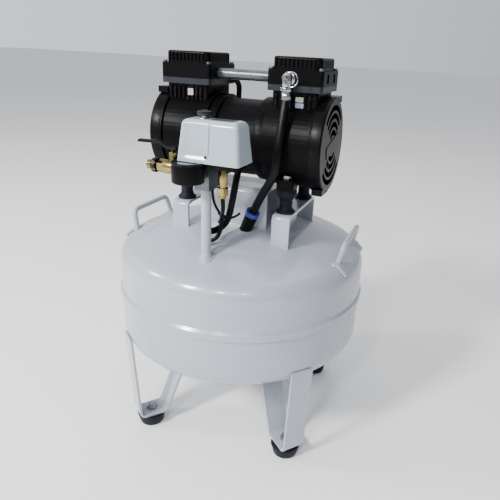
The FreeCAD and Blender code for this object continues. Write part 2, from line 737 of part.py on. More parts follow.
# --- Fan covers and fans ------------------------------------------------------------------
cover_back = on_shaft(CASE_END)
cover_front = on_shaft(CASE_END + FAN_COVER_L)
fan_cover = rod(FAN_COVER_R, cover_back, cover_front)
front_edge = [e for e in fan_cover.Edges if all(abs(v.X - cover_front.x) < 0.01 for v in e.Vertexes)]
fan_cover = fan_cover.makeFillet(3, front_edge)
fan_cover = fan_cover.cut(
    rod(FAN_COVER_R - FAN_COVER_WALL, cover_back, cover_front - ALONG_X * FAN_COVER_WALL)
)
grille_start = cover_front - ALONG_X * FAN_COVER_L / 2
for radius in GRILLE_RADII:
    circle_slot = ring(radius + GRILLE_SLOT / 2, radius - GRILLE_SLOT / 2, grille_start, cover_front)
    for way in (-1, 1):
        wedge_points = [on_shaft(0)]
        for edge in (-1, 1):
            angle = math.radians(edge * GRILLE_SPAN / 2)
            wedge_points.append(on_shaft(0) + Vector(0, CUT * math.sin(angle), way * CUT * math.cos(angle)))
        wedge = Part.Face(Part.makePolygon(wedge_points + wedge_points[:1])).extrude(ALONG_X * CUT)
        fan_cover = fan_cover.cut(circle_slot.common(wedge))
tab_low = on_shaft(CASE_END) + Vector(0, 0, FAN_COVER_R - TAB_H)
tab = box(tab_low, tab_low + Vector(FAN_COVER_L, TAB_W, TAB_H))
tab = tab.cut(rod(FAN_COVER_R - 1, cover_back, cover_front))
low_tab = tab.copy()
low_tab.rotate(on_shaft(0), ALONG_X, 180)
fan_cover_right = fan_cover.fuse([tab, low_tab])
fan_cover_left = fan_cover_right.copy()
fan_cover_left.rotate(on_shaft(0), UP, 180)

fan_start = on_shaft(CASE_END + 2)
fan = ring(FAN_HUB_R, SHAFT_R, fan_start, fan_start + ALONG_X * FAN_L)
for i in range(FAN_BLADES):
    blade = box(
        fan_start + Vector(0, -BLADE_T / 2, FAN_HUB_R - 2),
        fan_start + Vector(FAN_L, BLADE_T / 2, FAN_R),
    )
    blade.rotate(fan_start + Vector(FAN_L / 2, 0, 0), UP, 20)
    blade.rotate(on_shaft(0), ALONG_X, 360 / FAN_BLADES * i)
    fan = fan.fuse(blade)
fan = fan.common(rod(FAN_R, fan_start, fan_start + ALONG_X * FAN_L))
cooling_fans = Part.makeCompound([mirrored(fan), fan])

# --- Gauge post, manifold and gauge ----------------------------------------------------------
post_foot = Vector(POST_X, POST_Y, POST_ROOT_Z)
post_top = Vector(POST_X, POST_Y, BLOCK_LOW_Z)
flare = Part.makeCone(POST_FLARE_R, POST_R, POST_FLARE_H, Vector(POST_X, POST_Y, POST_FLARE_Z))
gauge_post = rod(POST_R, post_foot, post_top).fuse(flare)
gauge_post = gauge_post.cut(rod(POST_BORE_R, post_foot, post_top)).cut(tank_envelope)

block_low = Vector(POST_X - BLOCK_HALF_X, POST_Y - BLOCK_HALF_Y, BLOCK_LOW_Z)
block_high = Vector(POST_X + BLOCK_HALF_X, POST_Y + BLOCK_HALF_Y, BLOCK_HIGH_Z)
manifold = box(block_low, block_high).cut(rod(POST_BORE_R, post_top, post_top + UP * BLOCK_BORE_H))

gauge_axis = Vector(GAUGE_X, GAUGE_Y, 0)
gauge_case = rod(GAUGE_R, gauge_axis + UP * GAUGE_LOW_Z, gauge_axis + UP * GAUGE_HIGH_Z)
bottom_edge = [e for e in gauge_case.Edges if all(abs(v.Z - GAUGE_LOW_Z) < 0.01 for v in e.Vertexes)]
gauge_case = gauge_case.makeFillet(GAUGE_EDGE_R, bottom_edge)
stem_start = Vector(GAUGE_X, GAUGE_Y + GAUGE_R - 2 * GAUGE_WALL, VALVE_Z)
gauge_stem = rod(GAUGE_STEM_R, stem_start, Vector(GAUGE_X, block_low.y, VALVE_Z))
gauge_case = gauge_case.fuse(gauge_stem)
gauge_case = gauge_case.cut(
    rod(GAUGE_R - GAUGE_WALL, gauge_axis + UP * (GAUGE_LOW_Z + 3), gauge_axis + UP * GAUGE_HIGH_Z)
)
dial_r = GAUGE_R - GAUGE_WALL
gauge_dial = ring(dial_r, 1.2, gauge_axis + UP * DIAL_Z, gauge_axis + UP * (DIAL_Z + DIAL_T))
lens_z = GAUGE_HIGH_Z - LENS_T
gauge_lens = rod(dial_r, gauge_axis + UP * lens_z, gauge_axis + UP * (lens_z + LENS_T))
needle_z = DIAL_Z + DIAL_T + 0.6
needle = box(
    gauge_axis + Vector(-NEEDLE_W / 2, -NEEDLE_TAIL, needle_z),
    gauge_axis + Vector(NEEDLE_W / 2, dial_r - NEEDLE_TAIL, needle_z + 0.7),
)
needle_hub = rod(2.0, gauge_axis + UP * needle_z, gauge_axis + UP * (needle_z + 1.2))
needle_pin = rod(1.1, gauge_axis + UP * (DIAL_Z - 2), gauge_axis + UP * needle_z)
gauge_pointer = needle.fuse([needle_hub, needle_pin])
gauge_pointer.rotate(gauge_axis, UP, NEEDLE_REST)

# --- Outlet ball valve ------------------------------------------------------------------------
def on_outlet(x):
    """A point on the outlet valve's axis."""
    return Vector(x, POST_Y, VALVE_Z)


outlet_parts = [rod(r, on_outlet(start), on_outlet(end)) for r, start, end in OUTLET_ROUNDS]
outlet_parts += [hex_bar(r, on_outlet(start), on_outlet(end)) for r, start, end in OUTLET_HEXES]
gland = rod(GLAND_R, on_outlet(LEVER_X), on_outlet(LEVER_X) + UP * (LEVER_Z - VALVE_Z - 2 * LEVER_T))
outlet_body = gland.fuse(outlet_parts)
ball_seat = Part.makeSphere(BALL_R + BALL_GAP, on_outlet(LEVER_X))
stem_hole = rod(STEM_R + RUN_GAP, on_outlet(LEVER_X), Vector(LEVER_X, POST_Y, LEVER_Z))
outlet_body = outlet_body.cut(rod(OUTLET_BORE_R, on_outlet(OUTLET_TIP_X), on_outlet(POST_X - BLOCK_HALF_X)))
outlet_valve_body = outlet_body.cut([ball_seat, stem_hole])

lever_line = [Vector(LEVER_X + along, 0, LEVER_Z + up) for along, up in LEVER_LINE]
lever_arm = strip(lever_line, LEVER_T, LEVER_W, LEVER_BEND_R)
lever_arm.translate(Vector(0, POST_Y, 0))
ball = Part.makeSphere(BALL_R, on_outlet(LEVER_X)).cut(
    rod(OUTLET_BORE_R, on_outlet(LEVER_X - BALL_R), on_outlet(LEVER_X + BALL_R))
)
stem_low = on_outlet(LEVER_X) + UP * (BALL_R - LEVER_T / 2)
stem = rod(STEM_R, stem_low, Vector(LEVER_X, POST_Y, LEVER_Z + LEVER_T))
outlet_lever = ball.fuse([stem, lever_arm])

# --- Pressure switch ----------------------------------------------------------------------------
base_w = SWITCH_W - SWITCH_BASE_INSET
base_d = SWITCH_D - SWITCH_BASE_INSET
switch_base = pad(SWITCH_X, SWITCH_Y, base_w, base_d, SWITCH_LOW_Z, SWITCH_SILL_Z, SWITCH_CORNER_R / 2)


def tapered_box(inset, low_z, high_z):
    """The switch cover's outline, drawn in by a wall's thickness."""
    sections = []
    for width, depth, z in ((SWITCH_W, SWITCH_D, low_z), (SWITCH_TOP_W, SWITCH_TOP_D, high_z)):
        size = (width - 2 * inset, depth - 2 * inset)
        shape = pad(SWITCH_X, SWITCH_Y, *size, z, z + 1, SWITCH_CORNER_R - inset)
        bottom = [f for f in shape.Faces if f.normalAt(0, 0).z < -0.9][0]
        sections.append(bottom.OuterWire)
    return Part.makeLoft(sections, True, True)


cover_outer = tapered_box(0, SWITCH_SILL_Z, SWITCH_TOP_Z)
top_rim = [e for e in cover_outer.Edges if all(v.Z > SWITCH_TOP_Z - 0.01 for v in e.Vertexes)]
switch_cover = cover_outer.makeFillet(SWITCH_EDGE_R, top_rim)
switch_cover = switch_cover.cut(tapered_box(SWITCH_WALL, SWITCH_SILL_Z, SWITCH_TOP_Z - SWITCH_WALL))
knob_axis = Vector(KNOB_X, SWITCH_Y, 0)
knob_top = knob_axis + UP * SWITCH_TOP_Z
switch_cover = switch_cover.cut(rod(KNOB_STEM_R + BALL_GAP, knob_top - UP * SWITCH_EDGE_R, knob_top + UP))
switch_knob = rod(KNOB_R, knob_axis + UP * KNOB_Z, knob_axis + UP * (KNOB_Z + KNOB_H)).fuse(
    rod(KNOB_STEM_R, knob_axis + UP * (KNOB_Z - KNOB_STEM_L), knob_axis + UP * KNOB_Z)
)
guide_low = knob_axis + UP * SWITCH_SILL_Z
guide_high = knob_axis + UP * (SWITCH_TOP_Z - KNOB_GUIDE_DROP)
guide_depth = KNOB_STEM_L + KNOB_TRAVEL
switch_base = switch_base.cut(rod(GAUGE_R + GAUGE_WALL, gauge_axis, gauge_axis + UP * SWITCH_SILL_Z))
switch_base = switch_base.fuse(rod(KNOB_GUIDE_R, guide_low, guide_high))
switch_base = switch_base.cut(rod(KNOB_STEM_R + RUN_GAP, guide_high - UP * guide_depth, guide_high))

unloader_axis = Vector(UNLOADER_X, UNLOADER_Y, 0)
unloader_foot = unloader_axis + UP * UNLOADER_LOW_Z
unloader_top = unloader_axis + UP * SWITCH_LOW_Z
unloader_valve = rod(UNLOADER_R, unloader_foot, unloader_top).fuse(
    [
        hex_bar(UNLOADER_HEX_R, unloader_foot + UP * 4, unloader_foot + UP * 14),
        rod(UNLOADER_BODY_R, unloader_foot + UP * 17, unloader_top - UP * 8),
    ]
)

# --- Tubes and cables ------------------------------------------------------------------------------
unloader_route = [unloader_foot] + [Vector(*point) for point in UNLOADER_ROUTE]
unloader_tube = round_bar(unloader_route, TUBE_R, label="unloader_tube")
unloader_tube = unloader_tube.cut(tank_envelope).cut(unloader_valve)

motor_cable = round_bar([Vector(*point) for point in CABLE_ROUTE], CABLE_R, label="motor_cable")
motor_cable = motor_cable.cut(rod(MOTOR_R, on_shaft(-MOTOR_HALF), on_shaft(MOTOR_HALF))).cut(cover_outer)

# --- Discharge elbow, relief valve and hose ------------------------------------------------------------
elbow_axis = Vector(ELBOW_X, ELBOW_Y, 0)
relief_axis = Vector(ELBOW_X, 0, ELBOW_Z + 1)
elbow_body = rod(ELBOW_R, elbow_axis + UP * ELBOW_LOW_Z, elbow_axis + UP * ELBOW_HIGH_Z)
elbow_top = [e for e in elbow_body.Edges if all(v.Z > ELBOW_HIGH_Z - 0.01 for v in e.Vertexes)]
discharge_elbow = elbow_body.makeFillet(ELBOW_EDGE_R, elbow_top).fuse(
    [
        rod(ELBOW_PORT_R, Vector(ELBOW_X, ELBOW_Y, ELBOW_Z - 1), port_end),
        hex_bar(ELBOW_PORT_NUT_R, port_face - ALONG_Y * 3, port_face),
        hex_bar(ELBOW_NUT_R, elbow_axis + UP * (ELBOW_LOW_Z + 2), elbow_axis + UP * (ELBOW_LOW_Z + 10)),
    ]
)
relief_start = relief_axis + ALONG_Y * (ELBOW_Y + 3)
relief_tip = relief_axis + ALONG_Y * RELIEF_TIP_Y
discharge_elbow = discharge_elbow.cut(
    rod(RELIEF_R + RUN_GAP, relief_start, relief_axis + ALONG_Y * (ELBOW_Y - 12))
)
ring_centre = Vector(ELBOW_X + math.sqrt(RING_R**2 - RING_DROP**2), RING_Y, relief_axis.z - RING_DROP)
relief_ring = Part.makeTorus(RING_R, RING_WIRE_R, ring_centre, ALONG_Y)
eye_centre = Vector(ELBOW_X, RING_Y, relief_axis.z)
spoke = eye_centre - ring_centre
tangent = spoke.cross(ALONG_Y).normalize()
relief_stem = rod(RELIEF_R, relief_start, relief_tip).cut(
    rod(RING_WIRE_R + 0.9, eye_centre - tangent * 5, eye_centre + tangent * 5)
)

fitting_top = FITTING_FOOT + FITTING_AXIS * FITTING_L
collar_low = fitting_top + FITTING_AXIS * COLLAR_GAP
collar_high = collar_low + FITTING_AXIS * COLLAR_L
hose_end = fitting_top - FITTING_AXIS * HOSE_SEAT
push_fitting_body = rod(FITTING_R, FITTING_FOOT - FITTING_AXIS * 10, fitting_top).cut(tank_envelope)
push_fitting_body = push_fitting_body.cut(rod(HOSE_R + 1.8, hose_end, fitting_top))
push_fitting_collar = ring(COLLAR_R, HOSE_R + 0.35, collar_low, collar_high)
push_fitting_collar = push_fitting_collar.fuse(
    ring(HOSE_R + 1.4, HOSE_R + 0.35, collar_low - FITTING_AXIS * 8, collar_low)
)
hose_route = [elbow_axis + UP * ELBOW_LOW_Z] + [Vector(*point) for point in HOSE_ROUTE]
hose_route += [fitting_top + FITTING_AXIS * HOSE_RUN_IN, hose_end]
discharge_hose = round_bar(hose_route, HOSE_R, label="discharge_hose").cut(discharge_elbow)

# --- Drain cock -----------------------------------------------------------------------------------
drain_top_z = axis_height(-1, 0)
boss_low = UP * (drain_top_z - 8)
hex_low = UP * (drain_top_z - 16)
drain_tip = UP * DRAIN_LOW_Z
drain_valve_body = rod(DRAIN_BOSS_R, boss_low, UP * (drain_top_z + 6)).cut(tank_envelope)
drain_valve_body = drain_valve_body.fuse(
    [hex_bar(DRAIN_BODY_R, hex_low, boss_low), rod(DRAIN_SPIGOT_R, drain_tip, boss_low)]
)
drain_valve_body = drain_valve_body.cut(rod(DRAIN_STEM_R + RUN_GAP, drain_tip, hex_low + UP * 6))
knob_low = drain_tip - UP * DRAIN_KNOB_H
wing_half = Vector(DRAIN_WING, DRAIN_WING_T / 2, 0)
drain_knob = rod(DRAIN_KNOB_R, knob_low, drain_tip - UP * BALL_GAP).fuse(
    [
        rod(DRAIN_STEM_R, drain_tip - UP, drain_tip + UP * 8),
        box(knob_low - wing_half, drain_tip - UP * 2 + wing_half),
    ]
)

pieces = {
    "tank_lower_shell": tank_lower_shell,
    "tank_upper_shell": tank_upper_shell,
    **legs,
    "rubber_feet": rubber_feet,
    "foot_bolts": foot_bolts,
    "handle_left": handle_left,
    "handle_right": handle_right,
    "bracket_left": bracket_left,
    "bracket_right": bracket_right,
    "bracket_centre": bracket_centre,
    "run_capacitor": run_capacitor,
    "rubber_mounts": rubber_mounts,
    "mount_bolts": mount_bolts,
    "motor_housing": motor_housing,
    "stator_core": stator_core,
    "stator_windings": stator_windings,
    "rotor_core": rotor_core,
    "crank_shaft": crank_shaft,
    "shaft_bearings": shaft_bearings,
    "cooling_fans": cooling_fans,
    "crankcase_left": crankcase_left,
    "crankcase_right": crankcase_right,
    "fan_cover_left": fan_cover_left,
    "fan_cover_right": fan_cover_right,
    "cylinder_left": cylinder_left,
    "cylinder_right": cylinder_right,
    "piston_left": piston_left,
    "piston_right": piston_right,
    "valve_plates": valve_plates,
    "head_left": head_left,
    "head_right": head_right,
    "head_cover_left": head_cover_left,
    "head_cover_right": head_cover_right,
    "head_screws": head_screws,
    "transfer_tube": transfer_tube,
    "discharge_elbow": discharge_elbow,
    "relief_stem": relief_stem,
    "relief_ring": relief_ring,
    "discharge_hose": discharge_hose,
    "push_fitting_body": push_fitting_body,
    "push_fitting_collar": push_fitting_collar,
    "gauge_post": gauge_post,
    "manifold": manifold,
    "gauge_case": gauge_case,
    "gauge_dial": gauge_dial,
    "gauge_pointer": gauge_pointer,
    "gauge_lens": gauge_lens,
    "outlet_valve_body": outlet_valve_body,
    "outlet_lever": outlet_lever,
    "switch_base": switch_base,
    "switch_cover": switch_cover,
    "switch_knob": switch_knob,
    "unloader_valve": unloader_valve,
    "unloader_tube": unloader_tube,
    "motor_cable": motor_cable,
    "drain_valve_body": drain_valve_body,
    "drain_knob": drain_knob,
}

os.makedirs("parts", exist_ok=True)
for name, shape in pieces.items():
    if shape.ShapeType == "Compound" and len(shape.Solids) == 1:
        shape = shape.Solids[0]
    size = shape.BoundBox
    print(name, len(shape.Solids), shape.isValid(), *[round(v, 1) for v in (size.XLength, size.YLength, size.ZMax)])
    shape.exportStep(os.path.join("parts", name + ".step"))
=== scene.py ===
import json
import math
import random

import bmesh
import bpy
from mathutils import Matrix, Vector


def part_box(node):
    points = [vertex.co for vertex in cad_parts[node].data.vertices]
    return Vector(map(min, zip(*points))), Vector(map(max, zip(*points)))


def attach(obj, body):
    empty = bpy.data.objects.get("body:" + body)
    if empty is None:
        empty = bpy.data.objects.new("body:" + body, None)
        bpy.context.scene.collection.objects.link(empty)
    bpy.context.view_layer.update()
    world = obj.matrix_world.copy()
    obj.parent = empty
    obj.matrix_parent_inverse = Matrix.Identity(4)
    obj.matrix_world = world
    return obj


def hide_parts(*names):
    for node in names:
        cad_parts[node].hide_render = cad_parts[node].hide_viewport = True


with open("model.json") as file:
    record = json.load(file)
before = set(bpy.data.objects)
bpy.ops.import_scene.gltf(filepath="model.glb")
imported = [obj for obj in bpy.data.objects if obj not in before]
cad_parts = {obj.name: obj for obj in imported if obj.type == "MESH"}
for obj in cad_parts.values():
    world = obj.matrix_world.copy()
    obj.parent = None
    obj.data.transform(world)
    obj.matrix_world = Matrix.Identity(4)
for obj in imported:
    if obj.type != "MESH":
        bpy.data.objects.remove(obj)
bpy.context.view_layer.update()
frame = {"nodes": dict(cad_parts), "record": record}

MM = 0.001
ROOT = "compressor"
random.seed(7)


# --- Camera, first because the cords are judged by what it sees ---------------
CAMERA_AT = (303.423, -727.822, 608.062)
CAMERA_YAW, CAMERA_PITCH, CAMERA_ROLL = -0.328861, 0.372803, -0.05298
# Sensor and lens in mm, and how far the picture is shifted, as a share of its width.
SENSOR = 36
LENS = 35.831736
SHIFT_X, SHIFT_Y = -0.048806, -0.00575


def make_camera():
    """The viewing angle: yaw to the left, pitch down and a small roll, in radians."""
    yaw, pitch, roll = CAMERA_YAW, CAMERA_PITCH, CAMERA_ROLL
    forward = Vector(
        (math.sin(yaw) * math.cos(pitch), math.cos(yaw) * math.cos(pitch), -math.sin(pitch))
    )
    level = Vector((math.cos(yaw), -math.sin(yaw), 0))
    down = forward.cross(level)
    right = level * math.cos(roll) + down * math.sin(roll)
    down = down * math.cos(roll) - level * math.sin(roll)
    data = bpy.data.cameras.new("camera")
    data.sensor_width = SENSOR
    data.lens = LENS
    data.shift_x = SHIFT_X
    data.shift_y = SHIFT_Y
    data.clip_start = 0.01
    camera = bpy.data.objects.new("camera", data)
    bpy.context.scene.collection.objects.link(camera)
    turn = Matrix((right, -down, -forward)).transposed().to_4x4()
    camera.matrix_world = Matrix.Translation(Vector(CAMERA_AT) * MM) @ turn
    bpy.context.scene.camera = camera


make_camera()


# --- Materials ----------------------------------------------------------------
def noise(nodes, links, coords, scale, detail=3.0, stretch=None):
    """A noise texture in object space, stretched along one axis for brushed metal."""
    texture = nodes.new("ShaderNodeTexNoise")
    texture.inputs["Scale"].default_value = scale
    texture.inputs["Detail"].default_value = detail
    source = coords
    if stretch:
        mapping = nodes.new("ShaderNodeMapping")
        mapping.inputs["Scale"].default_value = stretch
        links.new(coords, mapping.inputs["Vector"])
        source = mapping.outputs["Vector"]
    links.new(source, texture.inputs["Vector"])
    return texture.outputs["Fac"]


def remap(nodes, links, value, low, high, start=0.3, end=0.7):
    """A value brought into a new range."""
    ranged = nodes.new("ShaderNodeMapRange")
    ranged.inputs["From Min"].default_value = start
    ranged.inputs["From Max"].default_value = end
    ranged.inputs["To Min"].default_value = low
    ranged.inputs["To Max"].default_value = high
    links.new(value, ranged.inputs["Value"])
    return ranged.outputs["Result"]


def finish(
    name,
    dark,
    light,
    rough,
    metal=0.0,
    mottle=9.0,
    grain=700.0,
    bump=0.1,
    depth=0.0002,
    coat=0.0,
    stretch=None,
    worn=None,
    specular=0.5,
):
    """A surface whose colour, gloss and relief all vary a little.

    worn is the colour of rubbed edges.
    """
    material = bpy.data.materials.new(name)
    material.use_nodes = True
    nodes, links = material.node_tree.nodes, material.node_tree.links
    shader = nodes["Principled BSDF"]
    coords = nodes.new("ShaderNodeTexCoord").outputs["Object"]
    broad = noise(nodes, links, coords, mottle)
    fine = noise(nodes, links, coords, grain, 2.0, stretch)
    ramp = nodes.new("ShaderNodeValToRGB")
    ramp.color_ramp.elements[0].position = 0.3
    ramp.color_ramp.elements[1].position = 0.7
    ramp.color_ramp.elements[0].color = (*dark, 1)
    ramp.color_ramp.elements[1].color = (*light, 1)
    links.new(broad, ramp.inputs["Fac"])
    colour = ramp.outputs["Color"]
    if worn:
        geometry = nodes.new("ShaderNodeNewGeometry")
        edge = remap(nodes, links, geometry.outputs["Pointiness"], 0.0, 0.75, 0.54, 0.64)
        scuff = remap(nodes, links, noise(nodes, links, coords, 160.0), 0.0, 1.0, 0.45, 0.62)
        both = nodes.new("ShaderNodeMath")
        both.operation = "MULTIPLY"
        links.new(edge, both.inputs[0])
        links.new(scuff, both.inputs[1])
        mix = nodes.new("ShaderNodeMix")
        mix.data_type = "RGBA"
        mix.inputs["B"].default_value = (*worn, 1)
        links.new(both.outputs["Value"], mix.inputs["Factor"])
        links.new(colour, mix.inputs["A"])
        colour = mix.outputs["Result"]
    links.new(colour, shader.inputs["Base Color"])
    links.new(remap(nodes, links, fine, *rough), shader.inputs["Roughness"])
    relief = nodes.new("ShaderNodeBump")
    relief.inputs["Strength"].default_value = bump
    relief.inputs["Distance"].default_value = depth
    links.new(fine, relief.inputs["Height"])
    links.new(relief.outputs["Normal"], shader.inputs["Normal"])
    shader.inputs["Metallic"].default_value = metal
    shader.inputs["Coat Weight"].default_value = coat
    shader.inputs["Coat Roughness"].default_value = 0.08
    shader.inputs["Specular IOR Level"].default_value = specular
    return material


LOOKS = {
    "tank_paint": finish(
        "gloss_white_paint", (0.315, 0.345, 0.395), (0.345, 0.375, 0.43), (0.20, 0.28),
        mottle=6.0, grain=260.0, bump=0.05, depth=0.0002, coat=0.35,
    ),
    "pump_black": finish(
        "cast_black", (0.0014, 0.0013, 0.0017), (0.0028, 0.0026, 0.0032), (0.30, 0.46),
        mottle=24.0, grain=900.0, bump=0.25, depth=0.0002,
        worn=(0.016, 0.016, 0.019), specular=0.06,
    ),
    "valve_plate_grey": finish(
        "anodised_grey", (0.012, 0.0135, 0.021), (0.020, 0.022, 0.033), (0.34, 0.48),
        metal=0.5, mottle=40.0, grain=1200.0, bump=0.12, stretch=(1, 1, 8),
    ),
    "plastic_black": finish(
        "moulded_black", (0.0016, 0.0016, 0.0020), (0.0032, 0.0032, 0.0037), (0.24, 0.40),
        mottle=30.0, grain=1500.0, bump=0.15, worn=(0.020, 0.020, 0.024), specular=0.08,
    ),
    "plastic_blue": finish(
        "moulded_blue", (0.014, 0.028, 0.20), (0.025, 0.042, 0.26), (0.28, 0.42),
        mottle=60.0, grain=1500.0, bump=0.1,
    ),
    "switch_grey": finish(
        "pale_blue_grey_gloss", (0.31, 0.375, 0.425), (0.34, 0.405, 0.455), (0.18, 0.28),
        mottle=14.0, grain=420.0, bump=0.04, coat=0.3,
    ),
    "zinc_steel": finish(
        "zinc_plate", (0.26, 0.275, 0.285), (0.42, 0.43, 0.43), (0.24, 0.44),
        metal=1.0, mottle=120.0, grain=900.0, bump=0.12,
    ),
    "grey_steel": finish(
        "grey_steel", (0.085, 0.098, 0.112), (0.135, 0.15, 0.168), (0.28, 0.42),
        metal=0.75, mottle=50.0, grain=800.0, bump=0.12, stretch=(0.2, 1, 1),
    ),
    "lamination": finish(
        "stacked_steel", (0.18, 0.18, 0.19), (0.32, 0.32, 0.33), (0.4, 0.6),
        metal=0.9, mottle=30.0, grain=1400.0, bump=0.5, stretch=(6, 0.2, 0.2),
    ),
    "winding": finish(
        "varnished_wire", (0.24, 0.06, 0.02), (0.42, 0.13, 0.04), (0.25, 0.4),
        metal=0.5, mottle=60.0, grain=900.0, bump=0.6, stretch=(8, 1, 1),
    ),
    "alloy": finish(
        "cast_alloy", (0.42, 0.42, 0.43), (0.58, 0.58, 0.60), (0.35, 0.55),
        metal=1.0, mottle=60.0, grain=900.0, bump=0.25,
    ),
    "chrome": finish(
        "chrome", (0.36, 0.36, 0.38), (0.60, 0.60, 0.62), (0.04, 0.12),
        metal=1.0, mottle=120.0, grain=500.0, bump=0.03,
    ),
    "brass": finish(
        "turned_brass", (0.19, 0.145, 0.048), (0.42, 0.34, 0.125), (0.10, 0.26),
        metal=1.0, mottle=90.0, grain=900.0, bump=0.12, stretch=(4, 1, 1),
    ),
    "rubber": finish(
        "moulded_rubber", (0.0045, 0.0055, 0.010), (0.008, 0.0095, 0.0165), (0.42, 0.62),
        mottle=50.0, grain=1300.0, bump=0.2, specular=0.15,
    ),
    "hose_rubber": finish(
        "hose_rubber", (0.0018, 0.0018, 0.0022), (0.0036, 0.0036, 0.0042), (0.26, 0.42),
        mottle=60.0, grain=1400.0, bump=0.12, specular=0.12,
    ),
    "dial_white": finish(
        "dial_card", (0.52, 0.55, 0.60), (0.60, 0.63, 0.68), (0.45, 0.6),
        mottle=60.0, grain=1500.0, bump=0.05,
    ),
}
DARK_INK = finish(
    "dark_print", (0.01, 0.01, 0.012), (0.02, 0.02, 0.024), (0.4, 0.6), grain=1500.0
)
CREAM_FILM = finish(
    "cream_film", (0.34, 0.33, 0.29), (0.44, 0.43, 0.38), (0.35, 0.5), mottle=200.0
)
BLUE_FILM = finish(
    "blue_film", (0.20, 0.25, 0.38), (0.28, 0.33, 0.46), (0.35, 0.5), mottle=200.0
)
GLOSS_BLACK = finish(
    "gloss_black", (0.004, 0.004, 0.005), (0.008, 0.008, 0.009), (0.05, 0.14),
    grain=600.0, bump=0.02,
)
BLACK_STEEL = finish(
    "blackened_steel", (0.004, 0.004, 0.005), (0.009, 0.009, 0.010), (0.25, 0.42),
    metal=0.3, mottle=60.0, grain=900.0, bump=0.15, worn=(0.06, 0.06, 0.065), specular=0.25,
)


def glass():
    """The gauge's clear window."""
    material = finish(
        "clear_window", (0.95, 0.96, 0.97), (1, 1, 1), (0.02, 0.06), mottle=80.0, bump=0.01
    )
    shader = material.node_tree.nodes["Principled BSDF"]
    shader.inputs["Transmission Weight"].default_value = 1.0
    shader.inputs["IOR"].default_value = 1.5
    return material


LOOKS["clear"] = glass()

# How far each CAD node's edges are rounded, in mm. Nodes not named here keep their edges.
EDGE = {
    "leg_back_right": 0.8, "leg_back_left": 0.8, "leg_front_left": 0.8, "leg_front_right": 0.8,
    "bracket_left": 0.8, "bracket_right": 0.8, "bracket_centre": 0.8,
    "crankcase_left": 1.2, "crankcase_right": 1.2, "cylinder_left": 0.6, "cylinder_right": 0.6,
    "head_left": 1.0, "head_right": 1.0, "valve_plates": 0.8, "head_cover_left": 0.6,
    "head_cover_right": 0.6, "fan_cover_left": 0.7, "fan_cover_right": 0.7, "motor_housing": 1.0,
    "manifold": 0.9, "outlet_valve_body": 0.5, "outlet_lever": 0.5, "unloader_valve": 0.4,
    "push_fitting_body": 0.9, "push_fitting_collar": 0.6,
    "gauge_case": 0.8, "switch_base": 0.6, "foot_bolts": 0.5, "mount_bolts": 0.5,
    "head_screws": 0.4, "run_capacitor": 1.2, "drain_valve_body": 0.5, "drain_knob": 0.6,
    "cooling_fans": 0.4, "relief_stem": 0.4, "handle_left": 0.4, "handle_right": 0.4,
}


def round_edges(obj, width):
    """A small rounding on every sharp edge."""
    weld = obj.modifiers.new("weld", "WELD")
    weld.merge_threshold = 0.00001
    bevel = obj.modifiers.new("bevel", "BEVEL")
    bevel.width = width * MM
    bevel.segments = 3
    bevel.limit_method = "ANGLE"
    bevel.angle_limit = math.radians(32)
    bevel.use_clamp_overlap = True
    bevel.harden_normals = True


def dress_nodes():
    """Every CAD node takes the look of its record slot."""
    for part in frame["record"]["subparts"]:
        obj = frame["nodes"][part["node"]]
        look = LOOKS[part["material_slot"]]
        for place in obj.material_slots:
            place.material = look
        if not obj.material_slots:
            obj.data.materials.append(look)
        if part["node"] == "outlet_lever":
            obj.material_slots[0].material = BLACK_STEEL
        if part["node"] in EDGE:
            round_edges(obj, EDGE[part["node"]])


dress_nodes()


# --- Building blocks ------------------------------------------------------------
def add_mesh(name, verts, faces, look, body=ROOT, smooth=True, edge=0.0):
    """A mesh piece in millimetres that rides on a body."""
    mesh = bpy.data.meshes.new(name)
    mesh.from_pydata([Vector(v) * MM for v in verts], [], faces)
    mesh.validate()
    bm = bmesh.new()
    bm.from_mesh(mesh)
    bmesh.ops.recalc_face_normals(bm, faces=bm.faces)
    bm.to_mesh(mesh)
    bm.free()
    for face in mesh.polygons:
        face.use_smooth = smooth
    obj = bpy.data.objects.new(name, mesh)
    bpy.context.scene.collection.objects.link(obj)
    mesh.materials.append(look)
    if edge:
        round_edges(obj, edge)
    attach(obj, body)
    return obj


def frame_of(axis):
    """Two directions square to an axis."""
    axis = Vector(axis).normalized()
    helper = Vector((0, 0, 1)) if abs(axis.z) < 0.9 else Vector((1, 0, 0))
    side = axis.cross(helper).normalized()
    return side, axis.cross(side).normalized()


def lathe(
    name, profile, centre, look, axis=(0, 0, 1), steps=72, body=ROOT, edge=0.0, wobble=None
):
    """A turned piece: (radius, height) pairs from the axis out and back to it.

    wobble gives what is added to the radius at an angle and a height.
    """
    side, other = frame_of(axis)
    axis = Vector(axis).normalized()
    verts, faces, rings = [], [], []
    for radius, height in profile:
        base = Vector(centre) + axis * height
        if radius < 1e-6:
            rings.append([len(verts)])
            verts.append(base)
            continue
        ring = []
        for i in range(steps):
            angle = 2 * math.pi * i / steps
            r = radius + (wobble(angle, height) if wobble else 0.0)
            ring.append(len(verts))
            verts.append(base + side * r * math.cos(angle) + other * r * math.sin(angle))
        rings.append(ring)
    for low, high in zip(rings, rings[1:]):
        for i in range(steps):
            j = (i + 1) % steps
            if len(low) == 1 and len(high) > 1:
                faces.append((low[0], high[i], high[j]))
            elif len(high) == 1 and len(low) > 1:
                faces.append((low[i], low[j], high[0]))
            elif len(low) > 1:
                faces.append((low[i], low[j], high[j], high[i]))
    return add_mesh(name, verts, faces, look, body, edge=edge)


